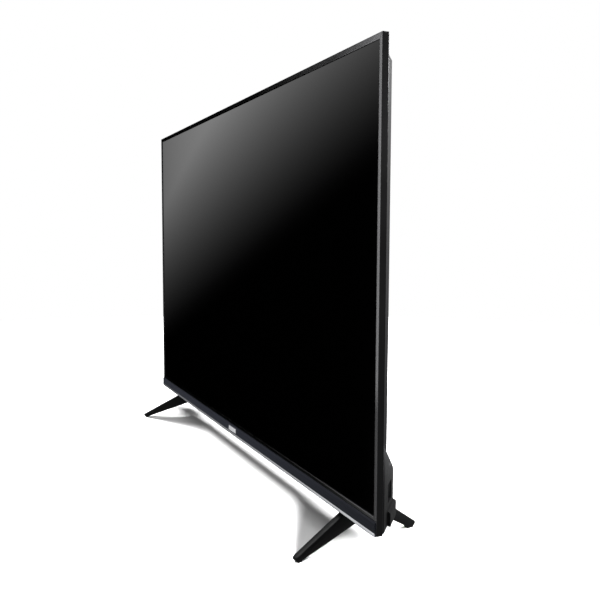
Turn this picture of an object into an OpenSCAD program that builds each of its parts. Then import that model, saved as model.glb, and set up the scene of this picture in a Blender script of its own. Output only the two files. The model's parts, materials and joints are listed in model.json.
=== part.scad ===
// Flat screen television, 55-inch class, standing on two splayed feet.
// +X is the viewer's right, +Y the back, +Z up; the origin is on the floor at the middle of the stand.

/* [Set] */
// Width of the set over its bezel
set_w = 1232; // [1150:1:1400]
// Height of the set from the chin's lower edge to the top edge
set_h = 714; // [640:1:800]
// Height of the chin's lower edge above the floor
foot_h = 66; // [58:1:80]
// Depth of the stand over both foot tips
stand_depth = 254; // [240:1:300]
// How far the front foot tips reach ahead of the bezel
front_reach = 84; // [70:1:100]

/* [Bezel] */
// Depth of the bezel's outer wall
bezel_depth = 11; // [10:0.5:14]
// Thickness of the bezel's outer wall
bezel_wall = 1.5; // [1.2:0.1:2]
// Thickness of the bezel's front lip
lip_t = 1.2; // [0.8:0.1:1.6]
// Width of the lip on the left and right
lip_side = 8; // [7:0.5:12]
// Width of the lip along the top
lip_top = 9; // [7:0.5:14]
// Width of the lip along the bottom, behind the chin
lip_bottom = 28; // [26:0.5:34]
// Cut on the bezel's edges
edge_cut = 0.4; // [0.2:0.1:0.6]
// Length of a corner key's arm
key_arm = 32; // [20:1:50]
// Thickness of a corner key
key_t = 1; // [0.6:0.1:1.2]

/* [Chin] */
// Height of the chin bar
chin_h = 22; // [18:0.5:24]
// How far the chin stands ahead of the bezel
chin_proud = 2.8; // [2:0.1:5]
// Height of the bright trim strip
trim_h = 4; // [2.5:0.1:6]
// Dark edge left under the trim strip
trim_lift = 1.2; // [0.8:0.1:2]
// Depth of the trim strip's seat in the chin
trim_seat = 0.8; // [0.5:0.1:1.2]
// How far the trim strip stands ahead of the chin
trim_proud = 0.3; // [0.1:0.1:0.6]
// Width of the plain plate at the chin's middle
plate_w = 45; // [30:1:70]
// Height of the plain plate
plate_h = 9.5; // [7:0.5:13]
// Thickness of the plain plate
plate_t = 0.8; // [0.5:0.1:1.5]

/* [Display] */
// How far the glass stays inside the set's outline
cell_in = 5; // [4.5:0.5:6]
// Thickness of the glass panel
cell_t = 1.6; // [1.2:0.1:2.4]
// Thickness of the foam between lip and glass
gasket_t = 0.3; // [0.2:0.1:0.6]
// Overlap of the lips on the glass along the bottom
cell_overlap = 6; // [4:0.5:8]
// Thickness of the middle frame's ledge
ledge_t = 1.2; // [0.8:0.1:2]
// Width of the middle frame's ledge inside the glass edge
ledge_w = 9; // [7:0.5:12]
// Thickness of the optical films together
film_t = 0.6; // [0.3:0.1:1]
// Thickness of the diffuser plate
diffuser_t = 2.5; // [1.5:0.1:3]
// Thickness of the reflector sheet
reflector_t = 0.6; // [0.3:0.1:1]

/* [Chassis pan] */
// Depth of the pan's flat back behind the bezel's front
pan_depth = 28; // [25:0.5:34]
// Thickness of the pan's steel sheet
pan_t = 0.8; // [0.6:0.1:1.2]
// Width of the flat ledge on the left and right
ledge_side = 9; // [7:0.5:12]
// Inset of the flat back on the left and right
flat_side = 20; // [18:0.5:30]
// Width of the flat ledge along the top and bottom
ledge_top = 17; // [12:0.5:24]
// Inset of the flat back along the top and bottom
flat_top = 33; // [28:0.5:44]
// Height of the stamped plateau and bosses
stamp_h = 2; // [1:0.1:3]
// Width of the stamped plateau
plateau_w = 860; // [700:5:980]
// Height of the stamped plateau's outline
plateau_h = 400; // [350:5:440]
// Corner radius of the plateau
plateau_r = 36; // [20:1:60]

/* [Wall mount] */
// Spacing of the wall-mount holes, both ways
vesa_pitch = 300; // [200:100:300]
// Radius of the wall-mount thread
vesa_r = 3; // [2:1:4]
// Radius of the boss round each wall-mount hole
vesa_boss_r = 17; // [12:1:24]
// Height of the boss above the plateau
vesa_boss_h = 3; // [2:0.5:4]

/* [Light] */
// Number of rows of LED strips
led_rows = 4; // [3:1:5]
// Number of LEDs on a strip
led_count = 11; // [8:1:13]
// Height of an LED strip
strip_h = 14; // [10:1:20]
// Thickness of an LED strip
strip_t = 1.2; // [0.8:0.1:1.6]
// Radius of an LED lens
lens_r = 7.5; // [5:0.5:9]
// Height of an LED lens
lens_h = 5.5; // [4:0.5:7]

/* [Rear housing] */
// Depth of the housing's rear face behind the bezel's front
house_depth = 72; // [69:0.5:90]
// Wall of the housing
house_wall = 2.5; // [2:0.1:3.5]
// Radius between the rear face and the sloped top
house_r = 30; // [24:1:36]
// Height at which the rear face starts to round over
house_shoulder = 61; // [58:1:70]
// How far the housing stays inside the set's ends
house_in = 5; // [3:0.5:10]
// Run of each slanted end along the width
slant_run = 65; // [45:1:80]
// Radius of the housing's upright rear corners
house_corner_r = 14; // [8:1:20]
// Radius of the housing's lower rear edge
house_edge_r = 6; // [4:0.5:10]
// How far the pad over each foot stands out of the housing
pad_out = 5; // [4:0.5:7]
// Height of the pad over each foot
pad_top = 24; // [20:0.5:28]
// Radius of the pad's upper edges
pad_r = 5; // [3:0.5:6]
// Number of vent slots in a bank
vent_count = 22; // [10:1:24]
// Width of a vent slot
vent_w = 3; // [2:0.5:4]
// Distance from vent slot to vent slot
vent_pitch = 8; // [7:0.5:9]

/* [Feet] */
// Distance of each foot's middle from the set's end
foot_inset = 132; // [125:1:150]
// Angle by which the front tips turn outwards
foot_toe = 12; // [5:0.5:18]
// Width of a foot at its root
foot_w = 14; // [13:0.5:20]
// Radius of a foot's tips
tip_r = 6; // [5:0.5:7]
// Height of a leg's tip above its pad
tip_h = 6; // [5:0.5:10]
// Rise of the foot's underside at its very tips
tip_cut = 2; // [1:0.5:3]
// Height at which the upper edges of both legs would meet
leg_peak = 85; // [78:1:92]
// Height at which the lower edges of both legs would meet
leg_crotch = 49; // [44:1:52]
// How far behind the root's middle the upper edges would meet
leg_back = 17; // [12:1:22]
// Thickness of the rubber pads
pad_t = 2.5; // [1.5:0.5:4]
// Half the length of a foot's root block
root_half = 25; // [22:1:28]
// Radius of the foot screws
foot_screw_r = 2; // [1.5:0.5:2.5]

/* [Boards] */
// Height of the standoffs between pan and boards
standoff_h = 8; // [6:0.5:10]
// Thickness of the circuit boards
board_t = 1.6; // [1:0.1:2]
// Height of the ceiling of the socket bays
bay_top = 30; // [28:0.5:32]
// Width of the bay for the signal sockets
port_bay_w = 144; // [138:1:160]
// Width of the bay for the mains inlet
mains_bay_w = 60; // [44:1:80]
// Distance from the foot's middle to the bays
bay_gap = 50; // [44:1:60]
// Width of the timing board
timing_w = 170; // [166:1:180]

/* [Speakers] */
// Width of a speaker box
speaker_w = 150; // [120:1:152]
// Height of a speaker box
speaker_h = 52; // [46:1:54]
// Depth of a speaker box
speaker_d = 33; // [30:1:36]
// Radius of a speaker driver
driver_r = 14; // [12:0.5:14.5]

/* [Power button] */
// Radius of the power button
button_r = 4; // [3:0.5:5]
// Travel of the power button
button_travel = 0.8; // [0.5:0.1:1]

/* [Hidden] */
$fn = 48;

half_w = set_w / 2;
front_y = front_reach - stand_depth / 2;
fit = 0.3;
press = 0.05;
cut = 1;

// Depths of the display's layers behind the bezel's front
cell_y0 = lip_t + gasket_t;
cell_y1 = cell_y0 + cell_t;
ledge_y1 = cell_y1 + ledge_t;
film_y1 = ledge_y1 + film_t;
diffuser_y1 = film_y1 + diffuser_t;
rim_y1 = diffuser_y1 + reflector_t;
flange_y1 = rim_y1 + pan_t;
strip_y1 = pan_depth - pan_t;
strip_y0 = strip_y1 - strip_t;
cell_z0 = lip_bottom - cell_overlap;

// Rises and runs of the pan's sloped edges
pan_rise = pan_depth - flange_y1;
side_k = (flat_side - ledge_side) / pan_rise;
top_k = (flat_top - ledge_top) / pan_rise;

// Housing
house_x = half_w - house_in;
house_y0 = bezel_depth + 0.2;
house_z0 = 1;
slant_y0 = bezel_depth + 5;
slant_k = slant_run / (house_depth - slant_y0);

// Feet
foot_x = half_w - foot_inset;
apex_y = house_depth / 2 + 8;
front_tip_y = -front_reach + tip_r;
rear_tip_y = stand_depth - front_reach - tip_r;
front_s = (front_tip_y - apex_y) / cos(foot_toe);
rear_s = (rear_tip_y - apex_y) / cos(foot_toe);
root_top = foot_h + 4.8;

// Places in the rear housing
board_y0 = pan_depth + standoff_h;
board_y1 = board_y0 + board_t;
top_line = house_depth + house_shoulder + house_r * (sqrt(2) - 1);
function inner_top(y) = top_line - y - house_wall * sqrt(2);
floor_z = house_z0 + house_wall;
bay_y0 = board_y0 - 2;
bay_x1 = foot_x - bay_gap;
bay_x0 = bay_x1 - port_bay_w;
mains_x0 = bay_x1 - mains_bay_w;
socket_z = bay_top + house_wall + fit;
board_z0 = bay_top + house_wall + 3.5;
board_z1 = inner_top(board_y1 + 6) - 3;
pocket_y0 = board_y1 - 1;
pocket_y1 = board_y1 + 18;
pocket_z0 = bay_top + 4;
pocket_z1 = pocket_z0 + 30;
pocket_x = slant_x(pocket_y1, 0) - 3;
board_x1 = pocket_x - house_wall - 2;
speaker_x1 = bay_x0 - 26;
speaker_x0 = speaker_x1 - speaker_w;
speaker_y0 = pan_depth + 3;
speaker_z0 = floor_z + 2.5;
ear_z = speaker_z0 + speaker_h - 5;
button_y = house_y0 + 9;
ir_z = floor_z + 6.5;
ribbon_x = 62;
ribbon_w = 30;
harness_r = 2.5;
harness_y = pan_depth + harness_r + 0.6;

// The set's own place: y from the bezel's front, z from the chin's lower edge
module in_set() translate([0, front_y, foot_h]) children();
// Prism along X from an outline in (y, z)
module along_x(x0, x1) translate([x0, 0, 0]) rotate([90, 0, 90]) linear_extrude(x1 - x0) children();
// Prism along Y from an outline in (x, z)
module along_y(y0, y1) translate([0, y1, 0]) rotate([90, 0, 0]) linear_extrude(y1 - y0) children();
// Prism along Z from an outline in (x, y)
module along_z(z0, z1) translate([0, 0, z0]) linear_extrude(z1 - z0) children();
// Block between two corners
module block(a, b) translate(a) cube(b - a);
// Rod along Y
module rod_y(x, z, y0, y1, r) translate([x, y1, z]) rotate([90, 0, 0]) cylinder(h = y1 - y0, r = r);
// Rod along Z
module rod_z(x, y, z0, z1, r) translate([x, y, z0]) cylinder(h = z1 - z0, r = r);
// Both ends of the set
module both_ends() { children(); mirror([1, 0, 0]) children(); }
// Rectangle with round corners, given by two corners
module round_rect(a, b, r) {
    translate([a[0] + r, a[1]]) square([b[0] - a[0] - 2 * r, b[1] - a[1]]);
    translate([a[0], a[1] + r]) square([b[0] - a[0], b[1] - a[1] - 2 * r]);
    for (x = [a[0] + r, b[0] - r], z = [a[1] + r, b[1] - r]) translate([x, z]) circle(r);
}

// Bezel rail section: u runs inwards from the outer edge, y backwards
function rail_section(lip) = [[0, edge_cut], [edge_cut, 0], [lip - edge_cut, 0], [lip, edge_cut],
    [lip, lip_t], [bezel_wall, lip_t], [bezel_wall, bezel_depth], [0, bezel_depth]];
opening = [[-half_w + lip_side, lip_bottom], [half_w - lip_side, lip_bottom],
    [half_w - lip_side, set_h - lip_top], [-half_w + lip_side, set_h - lip_top]];
outline = [[-half_w, 0], [half_w, 0], [half_w, set_h], [-half_w, set_h]];
// Region between one outer edge and the opening, bounded by the mitre lines
module mitre(i) along_y(-cut, bezel_depth + cut)
    polygon([outline[i], outline[(i + 1) % 4], opening[(i + 1) % 4], opening[i]]);

module bezel_bottom() color("#17181a") in_set() intersection() {
    along_x(-half_w, half_w) polygon([for (p = rail_section(lip_bottom)) [p[1], p[0]]]);
    mitre(0);
}
module bezel_right() color("#2c2d30") in_set() intersection() {
    along_z(0, set_h) polygon([for (p = rail_section(lip_side)) [half_w - p[0], p[1]]]);
    mitre(1);
}
module bezel_top() color("#2c2d30") in_set() intersection() {
    along_x(-half_w, half_w) polygon([for (p = rail_section(lip_top)) [p[1], set_h - p[0]]]);
    mitre(2);
}
module bezel_left() color("#2c2d30") in_set() intersection() {
    along_z(0, set_h) polygon([for (p = rail_section(lip_side)) [p[0] - half_w, p[1]]]);
    mitre(3);
}

// Bent steel keys that hold the bezel's corners square
key_y0 = cell_y1;
key_y1 = diffuser_y1;
key_x1 = half_w - bezel_wall;
module corner_key() difference() {
    block([key_x1 - key_arm, key_y0, bezel_wall], [key_x1, key_y1, bezel_wall + key_arm]);
    block([key_x1 - key_arm - cut, key_y0 - cut, bezel_wall + key_t],
        [key_x1 - key_t, key_y1 + cut, bezel_wall + key_arm + cut]);
}
module corner_keys() color("#8d9094") in_set() both_ends() {
    corner_key();
    translate([0, 0, set_h]) mirror([0, 0, 1]) corner_key();
}

// Chin: a bar stuck on the bottom rail, with a seat for the trim strip
trim_z1 = trim_lift + trim_h;
chin_cut = 1.2;
module chin_ends() along_z(-cut, chin_h + cut) polygon([[-half_w, 0], [-half_w, chin_cut - chin_proud],
    [chin_cut - half_w, -chin_proud - cut], [half_w - chin_cut, -chin_proud - cut],
    [half_w, chin_cut - chin_proud], [half_w, 0]]);
module chin_bar() color("#35363b") in_set() intersection() {
    along_x(-half_w, half_w) polygon([[0, 0], [-chin_proud, 0], [-chin_proud, trim_lift],
        [trim_seat - chin_proud, trim_lift], [trim_seat - chin_proud, trim_z1], [-chin_proud, trim_z1],
        [-chin_proud, chin_h - chin_cut], [chin_cut - chin_proud, chin_h], [0, chin_h]]);
    chin_ends();
}
module chin_trim() color("#d4d6d8") in_set() along_x(-half_w + chin_cut, half_w - chin_cut)
    polygon([[trim_seat - chin_proud, trim_lift], [-chin_proud - trim_proud, trim_lift],
        [-chin_proud - trim_proud, trim_z1 - trim_proud], [-chin_proud, trim_z1],
        [trim_seat - chin_proud, trim_z1]]);
plate_z = (trim_z1 + chin_h - chin_cut) / 2;
plate_r = 1.5;
module chin_plate() color("#cfd1d3") in_set() along_y(-chin_proud - plate_t, -chin_proud)
    round_rect([-plate_w / 2, plate_z - plate_h / 2], [plate_w / 2, plate_z + plate_h / 2], plate_r);

// Display layers
module panel_layer(inset, y0, y1, z0) block([-half_w + inset, y0, z0], [half_w - inset, y1, set_h - inset]);
module lcd_panel() color("#050506") in_set() panel_layer(cell_in, cell_y0, cell_y1, cell_z0);
gasket_w = 2;
gasket_in = cell_in + 0.5;
gasket_z0 = cell_z0 + 0.5;
module panel_gasket() color("#1a1a1a") in_set() difference() {
    panel_layer(gasket_in, lip_t, cell_y0, gasket_z0);
    block([-half_w + gasket_in + gasket_w, 0, gasket_z0 + gasket_w],
        [half_w - gasket_in - gasket_w, cell_y1, set_h - gasket_in - gasket_w]);
}
frame_in = bezel_wall + key_t + 0.4;
film_in = cell_in + 0.2;
film_z0 = cell_z0 + 0.2;
module middle_frame() color("#121212") in_set() difference() {
    panel_layer(frame_in, cell_y1, rim_y1 - 0.1, frame_in);
    block([-half_w + cell_in + ledge_w, 0, cell_z0 + ledge_w],
        [half_w - cell_in - ledge_w, bezel_depth, set_h - cell_in - ledge_w]);
    block([-half_w + film_in - 0.2, ledge_y1, film_z0 - 0.2],
        [half_w - film_in + 0.2, bezel_depth, set_h - film_in + 0.2]);
    ribbon_slots();
}
module optical_films() color("#e9edf0") in_set() panel_layer(film_in, ledge_y1, film_y1, film_z0);
module diffuser_plate() color("#f4f4f0") in_set() panel_layer(film_in, film_y1, diffuser_y1, film_z0);

// Solid within the pan's outer face, moved inwards by an inset, from depth y0 to its flat back
module pan_form(inset, y0) {
    side_shift = inset * sqrt(1 + side_k * side_k);
    top_shift = inset * sqrt(1 + top_k * top_k);
    y1 = pan_depth - inset;
    function x_at(y) = half_w - ledge_side - (y - flange_y1) * side_k - side_shift;
    function u_at(y) = ledge_top + (y - flange_y1) * top_k + top_shift;
    intersection() {
        along_z(0, set_h) polygon([[-x_at(y0), y0], [x_at(y0), y0], [x_at(y1), y1], [-x_at(y1), y1]]);
        along_x(-half_w, half_w) polygon([[y0, u_at(y0)], [y1, u_at(y1)],
            [y1, set_h - u_at(y1)], [y0, set_h - u_at(y0)]]);
    }
}
// Stamped plateau with its wall-mount bosses, grown backwards from the pan's flat
vesa_z = set_h / 2;
boss_y1 = pan_depth + stamp_h + vesa_boss_h;
module at_vesa() for (x = [-vesa_pitch / 2, vesa_pitch / 2], z = [-vesa_pitch / 2, vesa_pitch / 2])
    translate([x, 0, vesa_z + z]) children();
module stamping(inset) {
    along_y(pan_depth - 2 * pan_t, pan_depth + stamp_h - inset)
        round_rect([-plateau_w / 2 + inset, vesa_z - plateau_h / 2 + inset],
            [plateau_w / 2 - inset, vesa_z + plateau_h / 2 - inset], plateau_r - inset);
    at_vesa() rod_y(0, 0, pan_depth, boss_y1 - inset, vesa_boss_r - inset);
}
flange_in = bezel_wall + fit;
module back_chassis() color("#1d1f22") in_set() difference() {
    union() {
        panel_layer(flange_in, rim_y1, flange_y1, flange_in);
        pan_form(0, rim_y1);
        stamping(0);
    }
    pan_form(pan_t, rim_y1 - cut);
    stamping(pan_t);
    at_vesa() rod_y(0, 0, pan_depth, boss_y1 + cut, nut_neck_r + press);
    for (w = wells) rod_y(w[0], w[1], strip_y1 - cut, pan_depth + cut, screw_r + press);
    for (b = bracket_holes) rod_y(b[0], b[1], strip_y1 - cut, pan_depth + cut, board_screw_r + press);
    ribbon_slots();
}
// Clinch nuts: a broad flange behind the sheet and a neck that ends flush with the boss
nut_flange_r = vesa_r + 5;
nut_neck_r = vesa_r + 1.5;
nut_y0 = strip_y1 + fit;
module wall_mount_nuts() color("#b9bcc0") in_set() at_vesa() difference() {
    union() {
        rod_y(0, 0, nut_y0, boss_y1 - pan_t, nut_flange_r);
        rod_y(0, 0, nut_y0, boss_y1, nut_neck_r);
    }
    rod_y(0, 0, nut_y0 - cut, boss_y1 + cut, vesa_r);
}

// Light: strips on the pan's floor, lenses that stand through the reflector
refl_in = pan_t + strip_t;
led_span = set_w - 2 * flat_side - 60;
led_rise = set_h - 2 * flat_top - 40;
led_pitch = led_span / led_count;
row_pitch = led_rise / led_rows;
function led_x(i) = (i - (led_count - 1) / 2) * led_pitch;
function led_z(j) = set_h / 2 + (j - (led_rows - 1) / 2) * row_pitch;
module at_leds() for (i = [0 : led_count - 1], j = [0 : led_rows - 1])
    translate([led_x(i), 0, led_z(j)]) children();
module reflector_sheet() color("#fbfbf8") in_set() difference() {
    union() {
        panel_layer(film_in, diffuser_y1, rim_y1, film_z0);
        pan_form(refl_in, rim_y1);
    }
    pan_form(refl_in + reflector_t, diffuser_y1 - cut);
    at_leds() rod_y(0, 0, strip_y0 - 2 * reflector_t, strip_y0 + cut, lens_r + 0.5);
}
module led_strips() color("#f0f0ea") in_set() for (j = [0 : led_rows - 1])
    block([-led_span / 2, strip_y0, led_z(j) - strip_h / 2], [led_span / 2, strip_y1, led_z(j) + strip_h / 2]);
module led_lenses() color("#f6f6d8") in_set() at_leds() translate([0, strip_y0, 0]) rotate([90, 0, 0])
    cylinder(h = lens_h, r1 = lens_r, r2 = lens_r * 0.6);

// Rear housing outlines, moved inwards by an inset
module house_side(inset) {
    z0 = house_z0 + inset;
    y1 = house_depth - inset;
    r = house_edge_r - inset;
    translate([house_y0 - cut, z0]) square([y1 - r - house_y0 + cut, house_shoulder - z0]);
    translate([house_y0 - cut, z0 + r]) square([y1 - house_y0 + cut, house_shoulder - z0 - r]);
    translate([y1 - r, z0 + r]) circle(r);
    // Round from the rear face into a top that slopes at 45 degrees up to the pan
    turn_y = house_depth - house_r + (house_r - inset) / sqrt(2);
    turn_z = house_shoulder + (house_r - inset) / sqrt(2);
    translate([house_depth - house_r, house_shoulder]) circle(house_r - inset, $fn = 96);
    polygon([[house_y0 - cut, house_shoulder - cut], [turn_y, house_shoulder - cut], [turn_y, turn_z],
        [house_y0 - cut, turn_z + turn_y - house_y0 + cut]]);
}
// Corner of the plan where the slanted end meets the rear face
function slant_x(y, inset) = house_x - (y - slant_y0) * slant_k - inset * sqrt(1 + slant_k * slant_k);
function slant_start(inset) = slant_y0 + (inset - inset * sqrt(1 + slant_k * slant_k)) / slant_k;
module house_plan(inset) {
    y1 = house_depth - inset;
    r = house_corner_r - inset;
    turn = atan(1 / slant_k);
    tangent = r * tan(turn / 2);
    corner = slant_x(y1, inset);
    x_start = house_x - inset;
    arm = [tangent * cos(turn), -tangent * sin(turn)];
    polygon([[-x_start, house_y0], [x_start, house_y0], [x_start, slant_start(inset)],
        [corner + arm[0], y1 + arm[1]], [corner - tangent, y1],
        [tangent - corner, y1], [-corner - arm[0], y1 + arm[1]], [-x_start, slant_start(inset)]]);
    for (s = [-1, 1]) translate([s * (corner - tangent), y1 - r]) circle(r);
}
module house_form(inset) intersection() {
    along_x(-half_w, half_w) house_side(inset);
    along_z(0, set_h) house_plan(inset);
}

// Wells for the cover's screws: a tube from the rear face down to the pan
well_r = 6;
well_bore = 4.2;
well_floor = 2;
well_y0 = pan_depth + fit;
well_low = board_z0 + 4;
well_high = board_z1 - 3;
well_end_x = slant_x(board_y0, house_wall) - 9;
well_gap = 4;
right_wells = [[ribbon_x - ribbon_w / 2 - well_r - well_gap, well_low],
    [timing_w / 2 + well_r + 3.5 * well_gap, well_high],
    [bay_x0 - 2 * well_r - house_wall, well_low], [bay_x0 - 2 * well_r - house_wall, well_high],
    [well_end_x, well_high]];
wells = [for (w = right_wells, s = [-1, 1]) [s * w[0], w[1]]];
screw_r = 1.5;
// Pads that stand out of the housing's lower corners, over the feet, with round upper edges
slant_turn = atan(1 / slant_k);
pad_x0 = bay_x1 + house_wall;
pad_front = 24;
pad_y0 = house_y0 + pad_front;
pad_ramp = 12;
module pad_profile(inset) {
    y1 = pad_out - inset;
    z1 = pad_top - inset;
    r = pad_r - inset;
    translate([-house_depth, 0]) square([house_depth + y1 - r, z1]);
    translate([-house_depth, 0]) square([house_depth + y1, z1 - r]);
    translate([y1 - r, z1 - r]) circle(r);
}
module pad_form(inset) intersection() {
    along_z(house_z0 + inset, pad_top - inset) house_plan(inset - pad_out);
    translate([0, house_depth, 0]) along_x(-half_w, half_w) pad_profile(inset);
    both_ends() intersection() {
        translate([house_x, slant_y0, 0]) rotate([0, 0, -slant_turn])
            along_x(-house_x, house_x) pad_profile(inset);
        along_z(0, pad_top) polygon([[pad_x0 + inset, pad_y0 + inset], [slant_x(pad_y0, 0), pad_y0 + inset],
            [house_x, pad_y0 + pad_ramp + inset], [house_x, house_depth + pad_out],
            [pad_x0 + inset, house_depth + pad_out]]);
    }
}
module bay_box(x0, x1, grow)
    block([x0 - grow, bay_y0 - grow, -cut], [x1 + grow, house_depth + pad_out + cut, bay_top + grow]);
module side_pocket(grow) block([pocket_x - grow, pocket_y0 - grow, pocket_z0 - grow],
    [house_x + cut, pocket_y1 + grow, pocket_z1 + grow]);
// Row of upright slots through the rounded top
vent_z0 = house_shoulder + 12;
vent_z1 = house_shoulder + 34;
module vent_bank(x) for (i = [0 : vent_count - 1])
    translate([x + (i - (vent_count - 1) / 2) * vent_pitch, 0, 0])
        block([-vent_w / 2, board_y1, vent_z0], [vent_w / 2, house_depth + cut, vent_z1]);
// Slots under a speaker
slot_count = 14;
slot_w = 3;
module speaker_slots() for (i = [0 : slot_count - 1])
    translate([speaker_x0 + speaker_w * (i + 2) / (slot_count + 3), 0, 0])
        block([-slot_w / 2, speaker_y0 + 4, 0], [slot_w / 2, speaker_y0 + speaker_d - 4, floor_z + cut]);
module foot_mouth(grow) at_foot_in_set() along_z(0, floor_z + cut)
    square([foot_w + 2 * grow, 2 * root_half + 2 * grow], center = true);
module lower_cover() color("#232529") in_set() difference() {
    union() {
        house_form(0);
        pad_form(0);
    }
    difference() {
        union() {
            house_form(house_wall);
            pad_form(house_wall);
        }
        bay_box(bay_x0, bay_x1, house_wall);
        bay_box(-bay_x1, -mains_x0, house_wall);
        side_pocket(house_wall);
        for (w = wells) rod_y(w[0], w[1], well_y0, house_depth, well_r);
        for (s = [-1, 1]) rod_z(s * ir_post_x, button_y, 0, ir_z, 3);
    }
    pan_form(-fit, flange_y1 - cut);
    bay_box(bay_x0, bay_x1, 0);
    bay_box(-bay_x1, -mains_x0, 0);
    side_pocket(0);
    for (w = wells) {
        rod_y(w[0], w[1], well_y0 + well_floor, house_depth + cut, well_bore);
        rod_y(w[0], w[1], 0, house_depth, screw_r + 0.3);
    }
    both_ends() {
        vent_bank((bay_x0 + board_x1) / 2);
        speaker_slots();
        foot_mouth(fit);
    }
    socket_mouths();
    rod_z(0, button_y, 0, floor_z + cut, button_r + fit);
    rod_z(ir_lens_x, button_y, 0, floor_z + cut, ir_lens_r + fit);
}
screw_head_r = 3.4;
screw_head_h = 2.5;
screw_tip = 0.6;
module cover_screws() color("#303236") in_set() for (w = wells) {
    rod_y(w[0], w[1], strip_y1 - screw_tip, well_y0 + well_floor + press, screw_r);
    rod_y(w[0], w[1], well_y0 + well_floor, well_y0 + well_floor + screw_head_h, screw_head_r);
}

// Feet: an upright V from the side, tapered in plan, turned by the toe angle
front_end = front_s - tip_r;
rear_end = rear_s + tip_r;
tip_top = pad_t + tip_h;
function front_upper(s) = tip_top + (s - front_end) * (leg_peak - tip_top) / (leg_back - front_end);
rear_flat = rear_end - (foot_h - tip_top) * (rear_end - leg_back) / (leg_peak - tip_top);
crotch_s = leg_back + 11;
crotch_half = 12;
front_heel = front_s + 1.2 * tip_r;
rear_heel = rear_s - 2.2 * tip_r;
function front_lower(s) = pad_t + (s - front_heel) * (leg_crotch - pad_t) / (crotch_s - front_heel);
function rear_lower(s) = pad_t + (rear_heel - s) * (leg_crotch - pad_t) / (rear_heel - crotch_s);
module foot_side() polygon([[front_end, pad_t + tip_cut], [front_end, tip_top],
    [-root_half, front_upper(-root_half)], [-root_half, root_top], [root_half, root_top],
    [root_half, foot_h], [rear_flat, foot_h], [rear_end, tip_top], [rear_end, pad_t + tip_cut],
    [rear_s, pad_t], [rear_heel, pad_t], [crotch_s + crotch_half, rear_lower(crotch_s + crotch_half)],
    [crotch_s + crotch_half / 3, leg_crotch - 3], [crotch_s - crotch_half / 3, leg_crotch - 3],
    [crotch_s - crotch_half, front_lower(crotch_s - crotch_half)], [front_heel, pad_t], [front_s, pad_t]]);
// A foot's legs in plan: straight sides that run into the round tips
tip_blend = 0.1;
module legs(inset, z1) {
    r = tip_r - inset;
    w = foot_w / 2 - inset;
    along_z(0, z1) polygon([[tip_blend - r, front_s], [-w, -root_half], [-w, root_half], [tip_blend - r, rear_s],
        [r - tip_blend, rear_s], [w, root_half], [w, -root_half], [r - tip_blend, front_s]]);
}
module tips(z1) for (s = [front_s, rear_s]) rod_z(0, s, 0, z1, tip_r);
screw_s = [-8, 18];
seat_z = foot_h - 8;
foot_head_r = 3.8;
foot_head_h = 3.2;
module foot_tips() intersection() {
    along_x(-foot_w, foot_w) foot_side();
    tips(foot_h);
}
module foot_legs() difference() {
    intersection() {
        along_x(-foot_w, foot_w) foot_side();
        legs(0, root_top);
    }
    for (s = screw_s) {
        rod_z(0, s, 0, seat_z, foot_head_r + 0.4);
        rod_z(0, s, 0, root_top + cut, foot_screw_r + 0.2);
    }
}
module foot_form() {
    foot_legs();
    foot_tips();
}
module at_foot() translate([foot_x, front_y + apex_y, 0]) rotate([0, 0, foot_toe]) children();
module at_foot_in_set() translate([foot_x, apex_y, 0]) rotate([0, 0, foot_toe]) children();
module foot_right() color("#1b1b1c") at_foot() foot_form();
module foot_left() color("#1b1b1c") mirror([1, 0, 0]) at_foot() foot_form();
pad_edge = 1;
module foot_pads() color("#0c0c0c") both_ends() at_foot() {
    intersection() {
        legs(pad_edge, pad_t);
        for (s = [[front_s, front_heel], [rear_heel, rear_s]]) block([-foot_w, s[0], 0], [foot_w, s[1], pad_t]);
    }
}

// Panel drive: source boards behind the bottom lip, film tabs up to the glass
source_z0 = frame_in + 2;
source_z1 = cell_z0 - 5;
source_x0 = 30;
source_len = half_w - 110;
source_t = 1.2;
tab_count = 12;
tab_w = 32;
tab_y0 = cell_y1 - 0.9;
tab_t = 0.2;
module source_boards() color("#1f4a2e") in_set() both_ends()
    block([source_x0, cell_y1 - source_t, source_z0], [source_x0 + source_len, cell_y1, source_z1]);
module cof_films() color("#8a5a20") in_set() both_ends() for (i = [0 : tab_count / 2 - 1])
    translate([source_x0 + source_len * (i + 0.5) / (tab_count / 2), 0, 0])
        block([-tab_w / 2, tab_y0, source_z1], [tab_w / 2, tab_y0 + tab_t, cell_z0]);
post_y1 = strip_y0 - reflector_t;
module diffuser_posts() color("#fafafa") in_set()
    for (i = [1 : 2 : led_count - 2], j = [0 : led_rows - 2])
        translate([led_x(i) + led_pitch / 2, post_y1, (led_z(j) + led_z(j + 1)) / 2]) rotate([90, 0, 0])
            cylinder(h = post_y1 - diffuser_y1 - fit, r1 = 4, r2 = 1);

// Ribbons from the timing board down through the pan's lower ledge to the source boards
ribbon_t = 0.4;
ribbon_z = source_z0 + 3;
ribbon_y = board_y1 + 1.4;
ribbon_slot = 1;
timing_rise = 32;
timing_z0 = board_z0 + timing_rise;
grip_z0 = timing_z0 + 3;
grip_h = 5;
grip_in = 2;
module ribbon_slots() both_ends() block([ribbon_x - ribbon_w / 2 - 1, cell_y1 - cut, ribbon_z - ribbon_slot],
    [ribbon_x + ribbon_w / 2 + 1, flange_y1 + cut, ribbon_z + ribbon_slot]);
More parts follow.
